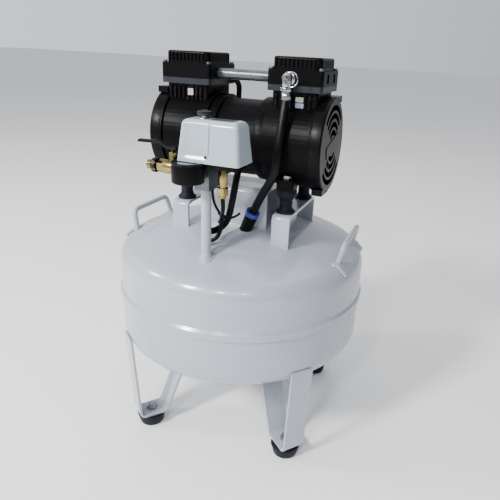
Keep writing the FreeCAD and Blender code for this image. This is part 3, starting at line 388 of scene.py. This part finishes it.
def tube(name, points, radius, look, closed=False, body=ROOT, sides=10, flat=1.0):
    """A bar along points.

    radius is a number or a function of the point's number, and flat widens or narrows the bar.
    """
    verts, faces = [], []
    count = len(points)
    spots = [Vector(p) for p in points]
    up = None
    for i, spot in enumerate(spots):
        before = spots[i - 1] if i or closed else spot
        after = spots[(i + 1) % count] if i < count - 1 or closed else spot
        along = (after - before).normalized()
        if up is None:
            up = frame_of(along)[0]
        up = (up - along * up.dot(along)).normalized()
        side = along.cross(up)
        size = radius(i) if callable(radius) else radius
        for k in range(sides):
            angle = 2 * math.pi * k / sides
            verts.append(spot + up * size * math.cos(angle) * flat + side * size * math.sin(angle))
    for i in range(count if closed else count - 1):
        j = (i + 1) % count
        for k in range(sides):
            m = (k + 1) % sides
            faces.append((i * sides + k, i * sides + m, j * sides + m, j * sides + k))
    if not closed:
        faces.append(tuple(range(sides)))
        faces.append(tuple((count - 1) * sides + k for k in reversed(range(sides))))
    return add_mesh(name, verts, faces, look, body)


def line(a, b, step=0.8):
    """Points along a straight run, about step apart."""
    a, b = Vector(a), Vector(b)
    count = max(2, int((b - a).length / step))
    return [a.lerp(b, i / count) for i in range(count)]


def bead(name, points, radius=1.5, closed=False):
    """A painted weld bead: a bar with the ripples a weld leaves."""

    def size(i):
        return radius * (0.86 + 0.14 * math.cos(i * 1.15)) * random.uniform(0.93, 1.07)

    return tube(name, points, size, LOOKS["tank_paint"], closed, sides=12)


# --- Tank surface, for the welds that follow it ----------------------------------
CROWN_R = 409.0
BRACKET_T = 4.0
# The legs stand on the diagonals, a little turned.
LEG_TURN = 49.5
LEG_TOP_R = 201.2
LEG_TOP_Z = 174.6
LEG_ROOT_R = 106.4
LEG_HALF_W = 17.0
FOOT_R = 169.7
HANDLE_X = 172.0
HANDLE_Y = 54.0
HANDLE_Z = 316.0
TANK_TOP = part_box("tank_upper_shell")[1].z / MM
TANK_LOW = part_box("tank_lower_shell")[0].z / MM


def tank_top(x, y):
    """Height of the tank's top at a point."""
    return TANK_TOP - CROWN_R + math.sqrt(CROWN_R**2 - x * x - y * y)


def tank_under(x, y):
    """Height of the tank's underside at a point."""
    return TANK_LOW + CROWN_R - math.sqrt(CROWN_R**2 - x * x - y * y)


def corners(node):
    """A node's lowest and highest corner, in mm."""
    low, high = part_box(node)
    return low / MM, high / MM


def on_top(points, lift=0.3):
    """Points dropped on the tank's top."""
    return [Vector((p.x, p.y, tank_top(p.x, p.y) + lift)) for p in points]


def foot_welds():
    """Beads round the feet of the three pump brackets."""
    for node in ("bracket_left", "bracket_right", "bracket_centre"):
        low, high = corners(node)
        ends = (("front", low.y, low.y + BRACKET_T), ("back", high.y, high.y - BRACKET_T))
        for tag, near, far in ends:
            path = line((low.x, far, 0), (low.x, near, 0))
            path += line((low.x, near, 0), (high.x, near, 0))
            path += line((high.x, near, 0), (high.x, far, 0))
            bead(f"weld_{node}_{tag}", on_top(path), 1.5)


foot_welds()


def leg_welds():
    """Beads where each leg's two plates meet the tank."""
    for quarter, name in enumerate(("back_right", "back_left", "front_left", "front_right")):
        angle = math.radians(LEG_TURN + 90 * quarter)
        out = Vector((math.cos(angle), math.sin(angle), 0))
        across = Vector((-out.y, out.x, 0)) * LEG_HALF_W
        top = out * LEG_TOP_R + Vector((0, 0, LEG_TOP_Z))
        bead(f"weld_leg_{name}_top", line(top - across, top + across), 1.7)
        root = out * LEG_ROOT_R
        path = [
            Vector((p.x, p.y, tank_under(p.x, p.y) - 0.3))
            for p in line(root - across, root + across)
        ]
        bead(f"weld_leg_{name}_root", path, 1.6)


leg_welds()


def handle_welds():
    """Beads round the three free sides of each handle foot."""
    foot = [(-6.0, 5.6), (0.0, 4.4), (5.0, 2.4), (10.0, -1.6), (16.6, -8.4)]
    half = 8.6
    for side, sign in (("right", 1), ("left", -1)):
        for end, y in (("front", -HANDLE_Y), ("back", HANDLE_Y)):
            near = [Vector((sign * (HANDLE_X + out), y - half, HANDLE_Z + up)) for out, up in foot]
            far = [Vector((p.x, y + half, p.z)) for p in reversed(near)]
            path = []
            for a, b in zip(near + far, (near + far)[1:]):
                path += line(a, b)
            bead(f"weld_handle_{side}_{end}", path, 2.1)


handle_welds()


def circle(centre, radius, count, axis=(0, 0, 1)):
    """Points round a circle."""
    side, other = frame_of(axis)
    turns = [2 * math.pi * i / count for i in range(count)]
    return [
        Vector(centre) + side * radius * math.cos(a) + other * radius * math.sin(a) for a in turns
    ]


POST = Vector((4.0, -146.0, 0))
bead("weld_post_foot", on_top(circle(POST, 10.6, 70)), 1.5, closed=True)


# --- Rubber feet and mounts ------------------------------------------------------
def feet():
    """Round moulded feet with a groove and a recess for the bolt."""
    outline = [
        (0, 4.0), (5.0, 4.0), (5.6, 3.4), (5.6, 0.9), (6.4, 0.2), (16.6, 0.0), (18.4, 0.5),
        (19.5, 1.9), (20.2, 4.4), (21.4, 9.5), (22.3, 13.0), (21.9, 13.6), (22.0, 14.6),
        (23.0, 15.3), (23.5, 16.4), (23.5, 18.4), (23.0, 19.5), (21.8, 20.0), (0, 20.0),
    ]
    for i in range(4):
        angle = math.radians(LEG_TURN + 90 * i)
        spot = (FOOT_R * math.cos(angle), FOOT_R * math.sin(angle), 0)
        foot = lathe(f"foot_{i + 1}", outline, spot, LOOKS["rubber"], steps=64, edge=0.35)
        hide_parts("rubber_feet")


feet()


def mounts():
    """Waisted rubber mounts with shallow rings round the neck."""
    outline = [(0, 0), (13.0, 0), (13.9, 0.7), (14.0, 2.4), (13.2, 3.6), (11.6, 5.0)]
    outline += [(10.2, 6.6), (9.5, 8.6)]
    outline += [(9.25 + 0.35 * math.cos(k * math.pi / 2), 9.5 + k * 0.85) for k in range(12)]
    outline += [(9.8, 20.0), (11.2, 22.2), (13.6, 24.6), (14.8, 26.6), (15.0, 28.4), (15.0, 33.4)]
    outline += [(14.3, 34.8), (13.4, 35.0), (0, 35.0)]
    low, high = corners("rubber_mounts")
    flange = 15.0
    look = LOOKS["rubber"]
    for i, x in enumerate((low.x + flange, high.x - flange)):
        for j, y in enumerate((low.y + flange, high.y - flange)):
            name = f"mount_{i + 1}_{j + 1}"
            mount = lathe(name, outline, (x, y, low.z), look, steps=56, edge=0.3)
            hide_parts("rubber_mounts")


mounts()


# --- Pressure switch cover and knob ------------------------------------------------
def ring_of(centre_x, centre_y, half_w, half_d, corner, z, per=9):
    """A rounded rectangle's outline at one height."""
    points = []
    for k, (sx, sy) in enumerate(((1, 1), (-1, 1), (-1, -1), (1, -1))):
        cx, cy = centre_x + sx * (half_w - corner), centre_y + sy * (half_d - corner)
        for i in range(per):
            angle = math.pi / 2 * (k + i / (per - 1))
            spot = (cx + corner * math.cos(angle), cy + corner * math.sin(angle), z)
            points.append(Vector(spot))
    return points


def densify(points, most=2.4):
    """The same closed outline with no run longer than most."""
    dense = []
    for a, b in zip(points, points[1:] + points[:1]):
        count = max(1, math.ceil((b - a).length / most))
        dense += [a.lerp(b, i / count) for i in range(count)]
    return dense


COVER_CROWN = 7.0
COVER_TAPER_X, COVER_TAPER_Y = 5.0, 6.0
COVER_CORNER_R = 4.6
# The step down the front: where it is, seen from the middle, how deep, and the groove beside it.
STEP_X = -0.8
STEP_DEPTH = 2.0
GROOVE_X = 2.4
GROOVE_DEPTH = 1.9
GROOVE_HALF_W = 0.9
ARC_CUTS = 9


def ramp(value, length):
    """0 to 1 over a length, and held there."""
    return min(1.0, max(0.0, value / length))


def front_push(x, z, low_z, high_z, step_x, left_x):
    """How far the cover's front goes in at a point: a step and a groove, faded out at the ends."""
    fade = ramp(high_z - 5.0 - z, 3.0) * ramp(z - low_z - 5.0, 3.0)
    push = STEP_DEPTH / (1 + math.exp((x - step_x) * 3.6))
    push += GROOVE_DEPTH * math.exp(-(((x - step_x - GROOVE_X) / GROOVE_HALF_W) ** 2))
    return push * fade * ramp(x - left_x, 5.0)


def switch_cover():
    """The tapered cover: soft edges, a step and a groove down its front, a screw at their foot."""
    low, high = corners("switch_cover")
    cx, cy = (low.x + high.x) / 2, (low.y + high.y) / 2
    half_w, half_d = (high.x - low.x) / 2, (high.y - low.y) / 2
    tall = high.z - low.z
    rim = 0.8
    levels = [(low.z, 0.0), (low.z + rim, -0.25)]
    levels += [
        (low.z + rim + (tall - COVER_CROWN - rim) * i / 20, 0.0) for i in range(1, 21)
    ]
    levels += [
        (high.z - COVER_CROWN + COVER_CROWN * math.sin(a), COVER_CROWN * (1 - math.cos(a)))
        for a in [math.pi / 2 * i / 8 for i in range(1, 9)]
    ]
    verts, faces, rings = [], [], []
    coarse = [i / 20 for i in range(1, 20)]
    # Along the front the cuts crowd round the step, which is a little left of the middle.
    crowded = [i / 12 for i in range(1, 12) if i != 6]
    crowded = sorted(crowded + [0.49 + i * 0.0045 for i in range(-7, 13)])
    for z, inset in levels:
        share = (z - low.z) / tall
        w = half_w - COVER_TAPER_X * share - inset
        d = half_d - COVER_TAPER_Y * share - inset
        corner = max(COVER_CORNER_R - inset * 0.3, 2.0)
        outline = ring_of(cx, cy, w, d, corner, z, ARC_CUTS)
        dense = []
        for k in range(4):
            arc = outline[k * ARC_CUTS:(k + 1) * ARC_CUTS]
            following = outline[((k + 1) * ARC_CUTS) % (4 * ARC_CUTS)]
            dense += arc
            dense += [arc[-1].lerp(following, cut) for cut in (crowded if k == 2 else coarse)]
        ring = []
        for p in dense:
            if p.y < cy - d + 0.5:
                push = front_push(p.x, z, low.z, high.z, cx + STEP_X, cx - w + corner)
                p = p + Vector((0, push, 0))
            ring.append(len(verts))
            verts.append(p)
        rings.append(ring)
    count = len(rings[0])
    for a, b in zip(rings, rings[1:]):
        for i in range(count):
            j = (i + 1) % count
            faces.append((a[i], a[j], b[j], b[i]))
    faces.append(tuple(rings[-1]))
    # The rim turns inwards and the inside closes a little above it.
    foot = [verts[i] for i in rings[0]]
    lip = len(verts)
    verts += [Vector((cx + (p.x - cx) * 0.95, cy + (p.y - cy) * 0.92, low.z)) for p in foot]
    deep = len(verts)
    verts += [Vector((cx + (p.x - cx) * 0.94, cy + (p.y - cy) * 0.91, low.z + 6)) for p in foot]
    for i in range(count):
        j = (i + 1) % count
        faces.append((rings[0][i], lip + i, lip + j, rings[0][j]))
        faces.append((lip + i, deep + i, deep + j, lip + j))
    faces.append(tuple(deep + i for i in range(count)))
    cover = add_mesh("switch_cover_shell", verts, faces, LOOKS["switch_grey"])
    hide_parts("switch_cover")
    screw = [(0, 0), (1.6, 0), (2.0, 0.4), (2.0, 0.9), (1.5, 1.3), (0, 1.4)]
    spot = (cx - 2.6, low.y + 2.2, low.z + 8.0)
    lathe("cover_screw", screw, spot, BLACK_STEEL, (0, -1, 0.1), 32)
    patch_top(cx, cy, high.z)


def patch_top(cx, cy, top):
    """A plain dark film on the right of the cover's top."""
    outline = densify(ring_of(cx + 12.0, cy + 1.0, 15.0, 9.5, 1.2, top + 0.12, per=4))
    verts = list(outline) + [p - Vector((0, 0, 0.2)) for p in outline]
    count = len(outline)
    faces = [tuple(range(count)), tuple(range(2 * count - 1, count - 1, -1))]
    faces += [(i, (i + 1) % count, count + (i + 1) % count, count + i) for i in range(count)]
    add_mesh("cover_patch", verts, faces, DARK_INK, smooth=False)


switch_cover()


def power_knob():
    """A pull knob with a milled rim on a chrome stem."""
    low, high = corners("switch_knob")
    centre = Vector(((low.x + high.x) / 2, (low.y + high.y) / 2, 0))
    cap_low = high.z - 6.0

    def milled(angle, height):
        return 0.28 * math.cos(24 * angle) if 0.6 < height - cap_low < 5.2 else 0.0

    cap = [(0, 0), (7.6, 0), (8.4, 0.5), (8.7, 1.0), (8.7, 4.6)]
    cap += [(8.2, 5.4), (7.0, 5.9), (5.6, 6.0), (5.0, 5.6), (0, 5.5)]
    cap = [(radius, cap_low + height) for radius, height in cap]
    knob = lathe(
        "knob_cap", cap, centre, GLOSS_BLACK,
        steps=144, body="power_knob", wobble=milled,
    )
    stem = [(0, low.z), (3.6, low.z), (3.6, cap_low + 0.4), (0, cap_low + 0.4)]
    shaft = lathe(
        "knob_shaft", stem, centre, LOOKS["chrome"], steps=40, body="power_knob", edge=0.2
    )
    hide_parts("switch_knob")
    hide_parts("switch_knob")
    collar_z = corners("switch_cover")[1].z
    collar = [(3.9, -1.0), (6.3, -1.0), (6.3, 0.5), (5.6, 0.9), (3.9, 0.9), (3.9, -1.0)]
    collar = [(radius, collar_z + height) for radius, height in collar]
    lathe("knob_collar", collar, centre, LOOKS["chrome"], steps=48)


power_knob()


# --- Gauge --------------------------------------------------------------------------
BOX_FACES = (
    (0, 1, 2, 3), (7, 6, 5, 4), (0, 4, 5, 1), (1, 5, 6, 2), (2, 6, 7, 3), (3, 7, 4, 0)
)


def gauge():
    """Dial marks and numbers, a bezel and a cap on the pointer."""
    low, high = corners("gauge_dial")
    centre = Vector(((low.x + high.x) / 2, (low.y + high.y) / 2, 0))
    top = high.z
    radius = (high.x - low.x) / 2
    verts, faces = [], []
    marks = 50
    for i in range(marks + 1):
        turn = math.radians(225 - 270 * i / marks)
        out = Vector((math.cos(turn), math.sin(turn), 0))
        across = Vector((-out.y, out.x, 0))
        major = i % 5 == 0
        near, far = radius - (6.4 if major else 4.8), radius - 3.0
        half = 0.28 if major else 0.13
        start = len(verts)
        for z in (top - 0.05, top + 0.08):
            for r, s in ((near, -1), (far, -1), (far, 1), (near, 1)):
                verts.append(centre + out * r + across * half * s + Vector((0, 0, z)))
        for quad in BOX_FACES:
            faces.append(tuple(start + q for q in quad))
    add_mesh("dial_marks", verts, faces, DARK_INK, smooth=False)
    for value in range(0, 11, 2):
        turn = math.radians(225 - 27 * value)
        text = bpy.data.curves.new(f"dial_number_{value}", "FONT")
        text.body = str(value)
        text.size = 3.4 * MM
        text.extrude = 0.05 * MM
        text.align_x, text.align_y = "CENTER", "CENTER"
        text.materials.append(DARK_INK)
        number = bpy.data.objects.new(f"dial_number_{value}", text)
        bpy.context.scene.collection.objects.link(number)
        spot = centre + Vector((math.cos(turn), math.sin(turn), 0)) * (radius - 8.7)
        number.location = Vector((spot.x, spot.y, top + 0.06)) * MM
        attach(number, ROOT)
    rim = corners("gauge_case")[1].z
    bezel = [(-2.6, 0.05), (-2.4, 0.7), (-1.6, 1.3), (1.8, 1.2), (2.4, 0.7), (2.5, -1.6)]
    bezel += [(2.05, -1.6), (2.0, 0.05), (-2.6, 0.05)]
    bezel = [(radius + out, rim + up) for out, up in bezel]
    lathe("gauge_bezel", bezel, centre, LOOKS["plastic_black"], steps=96)
    cap = [(0, top + 0.7), (2.4, top + 0.7), (2.6, top + 1.1), (2.2, top + 1.7), (0, top + 1.9)]
    lathe("pointer_cap", cap, centre, LOOKS["chrome"], steps=32, body="pointer")


gauge()


# --- Outlet valve ----------------------------------------------------------------------
OUTLET_Y, OUTLET_Z = -146.0, 457.0
THREAD_RIDGES = 6
GRIP_START = (-66, OUTLET_Y, 489.0)
GRIP_END = (-98.6, OUTLET_Y, 488.1)
GRIP_HALF_T = 2.3


def outlet():
    """Thread rings, a black nut and a dipped grip on the lever."""
    start_x = corners("outlet_valve_body")[0].x
    ridges = [(6.0, 0.0)]
    for k in range(THREAD_RIDGES):
        for radius, along in ((6.35, 0.25), (6.35, 0.45), (5.95, 0.75), (5.95, 0.95)):
            ridges.append((radius, along + k))
    ridges += [(3.5, 6.3), (3.5, 0.0), (6.0, 0.0)]
    spot = (start_x + 0.1, OUTLET_Y, OUTLET_Z)
    lathe("outlet_thread", ridges, spot, LOOKS["brass"], (1, 0, 0), 64)
    nut = [(6.4, 0.0), (9.4, 0.0), (10.2, 0.8), (10.2, 6.2), (9.4, 7.0), (6.4, 7.0), (6.4, 0.0)]

    def facets(angle, height):
        return -0.75 * (1 - abs(math.cos(3 * angle)))

    spot = (start_x + 8.0, OUTLET_Y, OUTLET_Z)
    lathe("outlet_nut", nut, spot, BLACK_STEEL, (1, 0, 0), 72, wobble=facets)
    path = line(GRIP_START, GRIP_END, 0.6)

    def swell(i):
        share = i / (len(path) - 1)
        ends = min(1.0, share * 10 + 0.25, (1 - share) * 12)
        return GRIP_HALF_T * math.sqrt(1 - (1 - ends) ** 2) + 0.05

    tube(
        "lever_grip", path, swell, LOOKS["plastic_black"],
        body="outlet_tap", sides=24, flat=2.2,
    )


outlet()


# --- Discharge fitting ------------------------------------------------------------------
FITTING_X, FITTING_Y = 84.0, -70.0
UNION_Z = 576.0
UNION_SEAT = 8.0


def discharge_fitting():
    """A slim chrome fitting: crimped sleeve over the hose, nut, body and the union on the head."""
    low, high = corners("discharge_elbow")
    foot = (FITTING_X, FITTING_Y, low.z)
    tip = high.z - low.z
    profile = [(0, 0.6), (6.15, 0.6), (6.9, 0.2), (7.0, 1.0), (6.6, 1.8), (7.0, 2.6), (6.6, 3.6)]
    profile += [(7.0, 4.6), (6.7, 5.4), (6.7, 10.4), (5.4, 10.9), (5.4, 16.8), (6.7, 17.4)]
    profile += [(6.9, 18.2), (6.9, tip - 5.0), (6.4, tip - 3.0), (5.0, tip - 1.2)]
    profile += [(3.0, tip - 0.4), (0, tip - 0.1)]
    body = lathe("discharge_fitting", profile, foot, LOOKS["chrome"], steps=64)

    def hexagon(angle, height):
        return -1.1 * (1 - abs(math.cos(3 * angle)))

    nut = [(5.0, 11.2), (7.6, 11.2), (8.3, 12.0), (8.3, 15.6), (7.6, 16.4), (5.0, 16.4)]
    nut.append(nut[0])
    ring_nut = lathe(
        "discharge_nut", nut, foot, LOOKS["chrome"], steps=96, wobble=hexagon
    )
    face = high.y - UNION_SEAT
    reach = face - FITTING_Y
    union = [(0, 0), (8.6, 0), (9.4, 0.9), (9.4, 4.4), (8.6, 5.2), (5.6, 5.2)]
    union += [(5.6, reach), (0, reach)]
    spot = (FITTING_X, face, UNION_Z)
    port = lathe("discharge_union", union, spot, LOOKS["chrome"], (0, -1, 0), 96)
    for piece in (body, ring_nut, port):
        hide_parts("discharge_elbow")


discharge_fitting()


# --- Plain labels on the front of the cylinders ------------------------------------------
def label(name, x, z, width, tall, look):
    """A thin film on the ribs of a cylinder's front."""
    low = corners("cylinder_right")[0]
    face_y = low.y
    outline = ring_of(x, z, width / 2, tall / 2, 0.8, 0, per=4)
    front = [Vector((p.x, face_y - 0.35, p.y)) for p in outline]
    back = [Vector((p.x, face_y + 0.1, p.y)) for p in outline]
    count = len(outline)
    faces = [tuple(range(count)), tuple(range(2 * count - 1, count - 1, -1))]
    faces += [(i, (i + 1) % count, count + (i + 1) % count, count + i) for i in range(count)]
    add_mesh(name, front + back, faces, look, smooth=False)


label("label_left", -69.0, 548.5, 8.6, 9.4, CREAM_FILM)
label("label_right_upper", 98.0, 549.4, 11.0, 6.6, CREAM_FILM)
label("label_right_lower", 98.2, 541.6, 11.4, 6.4, BLUE_FILM)


# --- Hose, tube and cables ------------------------------------------------------------------
def flex(name, points, radius, node=None):
    """A hose, tube or wire: a curve of the second degree over its control points."""
    curve = bpy.data.curves.new(name, "CURVE")
    curve.dimensions = "3D"
    curve.resolution_u = 24
    curve.bevel_depth = radius * MM
    curve.bevel_resolution = 6
    curve.use_fill_caps = True
    spline = curve.splines.new("NURBS")
    spline.points.add(len(points) - 1)
    for place, point in zip(spline.points, points):
        place.co = (*(Vector(point) * MM), 1)
    spline.order_u = 3
    spline.use_endpoint_u = True
    curve.materials.append(LOOKS["hose_rubber"])
    obj = bpy.data.objects.new(name, curve)
    bpy.context.scene.collection.objects.link(obj)
    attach(obj, ROOT)
    if node:
        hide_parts(node)


def along(start, step, axis):
    """A point some way along an axis."""
    return Vector(start) + Vector(axis).normalized() * step


FITTING_AXIS = (14.0, -8.0, 31.0)
FITTING_TOP = along((30.0, -65.0, 356.5), 26.0, FITTING_AXIS)
HOSE = [
    (84.0, -70.0, 549.0),
    (84.0, -80.0, 520.0),
    (83.0, -88.0, 486.0),
    (81.0, -91.0, 450.0),
    along(FITTING_TOP, 32.0, FITTING_AXIS),
    along(FITTING_TOP, -12.0, FITTING_AXIS),
]
UNLOADER = [
    (28.0, -145.0, 424.0),
    (26.0, -138.0, 408.0),
    (12.0, -112.0, 389.0),
    (12.0, -119.0, 356.0),
    (-8.0, -128.0, 348.0),
    (-9.0, -126.0, 337.0),
]
CABLE = [
    (19.0, -58.0, 470.0),
    (22.0, -82.0, 450.0),
    (17.0, -89.0, 402.0),
    (9.0, -91.0, 364.0),
    (-6.0, -138.0, 364.0),
    (-6.5, -124.0, 438.0),
    (-7.0, -125.0, 464.0),
    (-8.0, -138.5, 492.0),
]
SIGNAL_WIRE = [
    (6.0, -130.5, 446.0),
    (5.0, -129.6, 424.0),
    (5.5, -124.0, 406.0),
    (8.0, -112.0, 391.0),
    (6.0, -101.0, 380.0),
    (2.0, -103.0, 372.0),
]
RETURN_HOSE = [
    (-62.0, 22.0, 571.0),
    (-24.5, 22.0, 572.0),
    (-24.5, 22.0, 532.0),
    (-27.0, 20.0, 516.0),
]
flex("air_hose", HOSE, 6.0, "discharge_hose")
flex("bleed_tube", UNLOADER, 3.0, "unloader_tube")
flex("power_cable", CABLE, 5.0, "motor_cable")
flex("signal_wire", SIGNAL_WIRE, 1.9)
flex("return_hose", RETURN_HOSE, 4.2)


# The tie goes round the cable and the tube where they run side by side behind the post.
TIE_SPOT = Vector((8.5, -99.5, 382.5))
TIE_AXIS = (0.35, 0.35, 0.87)
TIE_LOOP_R = 8.6
TIE_HALF_W = 1.7
TAIL_STEPS = ((0, 0, 0), (5, -0.6, 1.4), (10.5, -0.8, 3.8), (16, -0.6, 7.4), (20, -0.2, 11.0))


def cable_tie():
    """A nylon tie round the bundle, with its tail left on."""
    black = LOOKS["plastic_black"]
    loop = circle(TIE_SPOT, TIE_LOOP_R, 40, TIE_AXIS)
    tube("tie_loop", loop, TIE_HALF_W, black, closed=True, sides=12, flat=0.5)
    head = TIE_SPOT + Vector((7.6, -3.4, -1.2))
    tail = [head + Vector(step) for step in TAIL_STEPS]
    tube("tie_tail", tail, TIE_HALF_W, black, sides=12, flat=0.5)
    block = [(0, -2.4), (2.2, -2.4), (2.7, -1.9), (2.7, 1.9), (2.2, 2.4), (0, 2.4)]
    lathe("tie_head", block, head, black, (1, 0, 0.3), 4, edge=0.4)


cable_tie()


SHAFT_Y, SHAFT_Z = -15.0, 486.0
BAND_HALF_LENGTH, BAND_HALF_W = 34.0, 9.0
BAND_TILT = 14.0


def cover_bands():
    """A plain raised bar across the middle of each fan cover."""
    outline = ring_of(0, 0, BAND_HALF_LENGTH, BAND_HALF_W, 2.5, 0, per=5)
    count = len(outline)
    tilt = math.radians(BAND_TILT)
    for node, sign in (("fan_cover_right", 1), ("fan_cover_left", -1)):
        low, high = corners(node)
        face = high.x if sign > 0 else low.x
        verts = []
        for lift, shrink in ((-0.6, 1.0), (0.5, 1.0), (0.9, 0.97)):
            for p in outline:
                y = p.x * shrink * math.cos(tilt) - p.y * shrink * math.sin(tilt)
                z = p.x * shrink * math.sin(tilt) + p.y * shrink * math.cos(tilt)
                verts.append(Vector((face + sign * lift, SHAFT_Y + sign * y, SHAFT_Z + z)))
        faces = [tuple(range(count - 1, -1, -1)), tuple(2 * count + i for i in range(count))]
        for layer in range(2):
            for i in range(count):
                j = (i + 1) % count
                a, b = layer * count, (layer + 1) * count
                faces.append((a + i, a + j, b + j, b + i))
        look = LOOKS["plastic_black"]
        add_mesh(f"{node}_band", verts, faces, look, smooth=False, edge=0.3)


cover_bands()


# --- Floor and light --------------------------------------------------------------------------
FLOOR_REACH = 30.0


def stage():
    """A plain pale floor and soft studio light."""
    mesh = bpy.data.meshes.new("floor")
    signs = ((-1, -1), (1, -1), (1, 1), (-1, 1))
    spots = [(FLOOR_REACH * x, FLOOR_REACH * y, 0) for x, y in signs]
    mesh.from_pydata(spots, [], [(0, 1, 2, 3)])
    floor = bpy.data.objects.new("floor", mesh)
    bpy.context.scene.collection.objects.link(floor)
    mesh.materials.append(
        finish(
            "pale_floor", (0.90, 0.90, 0.90), (0.93, 0.93, 0.93), (0.7, 0.85),
            mottle=2.0, grain=60.0, bump=0.02,
        )
    )
    world = bpy.data.worlds.new("studio")
    bpy.context.scene.world = world
    world.use_nodes = True
    background = world.node_tree.nodes["Background"]
    background.inputs["Color"].default_value = (0.94, 0.96, 1.0, 1)
    # The studio is a little darker on the right.
    nodes, links = world.node_tree.nodes, world.node_tree.links
    direction = nodes.new("ShaderNodeTexCoord").outputs["Generated"]
    parts = nodes.new("ShaderNodeSeparateXYZ")
    links.new(direction, parts.inputs["Vector"])
    strength = remap(nodes, links, parts.outputs["X"], 1.10, 0.34, -0.8, 0.8)
    links.new(strength, background.inputs["Strength"])

    def lamp(name, place, target, size, power, tint=(1, 1, 1)):
        data = bpy.data.lights.new(name, "AREA")
        data.shape = "RECTANGLE"
        data.size, data.size_y = size
        data.energy = power
        data.color = tint
        obj = bpy.data.objects.new(name, data)
        bpy.context.scene.collection.objects.link(obj)
        obj.location = place
        aim = Vector(target) - Vector(place)
        obj.rotation_mode = "QUATERNION"
        obj.rotation_quaternion = aim.to_track_quat("-Z", "Y")

    lamp("key", (-1.1, -2.1, 1.9), (0, 0, 0.25), (0.4, 0.4), 105, (1.0, 0.99, 0.97))
    lamp("left", (-2.2, -0.9, 1.7), (0, 0, 0.3), (0.35, 0.35), 30)
    lamp("front", (0.1, -2.4, 1.9), (0, 0, 0.3), (0.25, 0.2), 26)
    lamp("right", (1.0, -2.2, 1.9), (0, 0, 0.3), (0.14, 0.14), 9)
    lamp("top", (0.0, 0.8, 2.8), (0, 0.3, 0), (2.6, 2.2), 24)


stage()
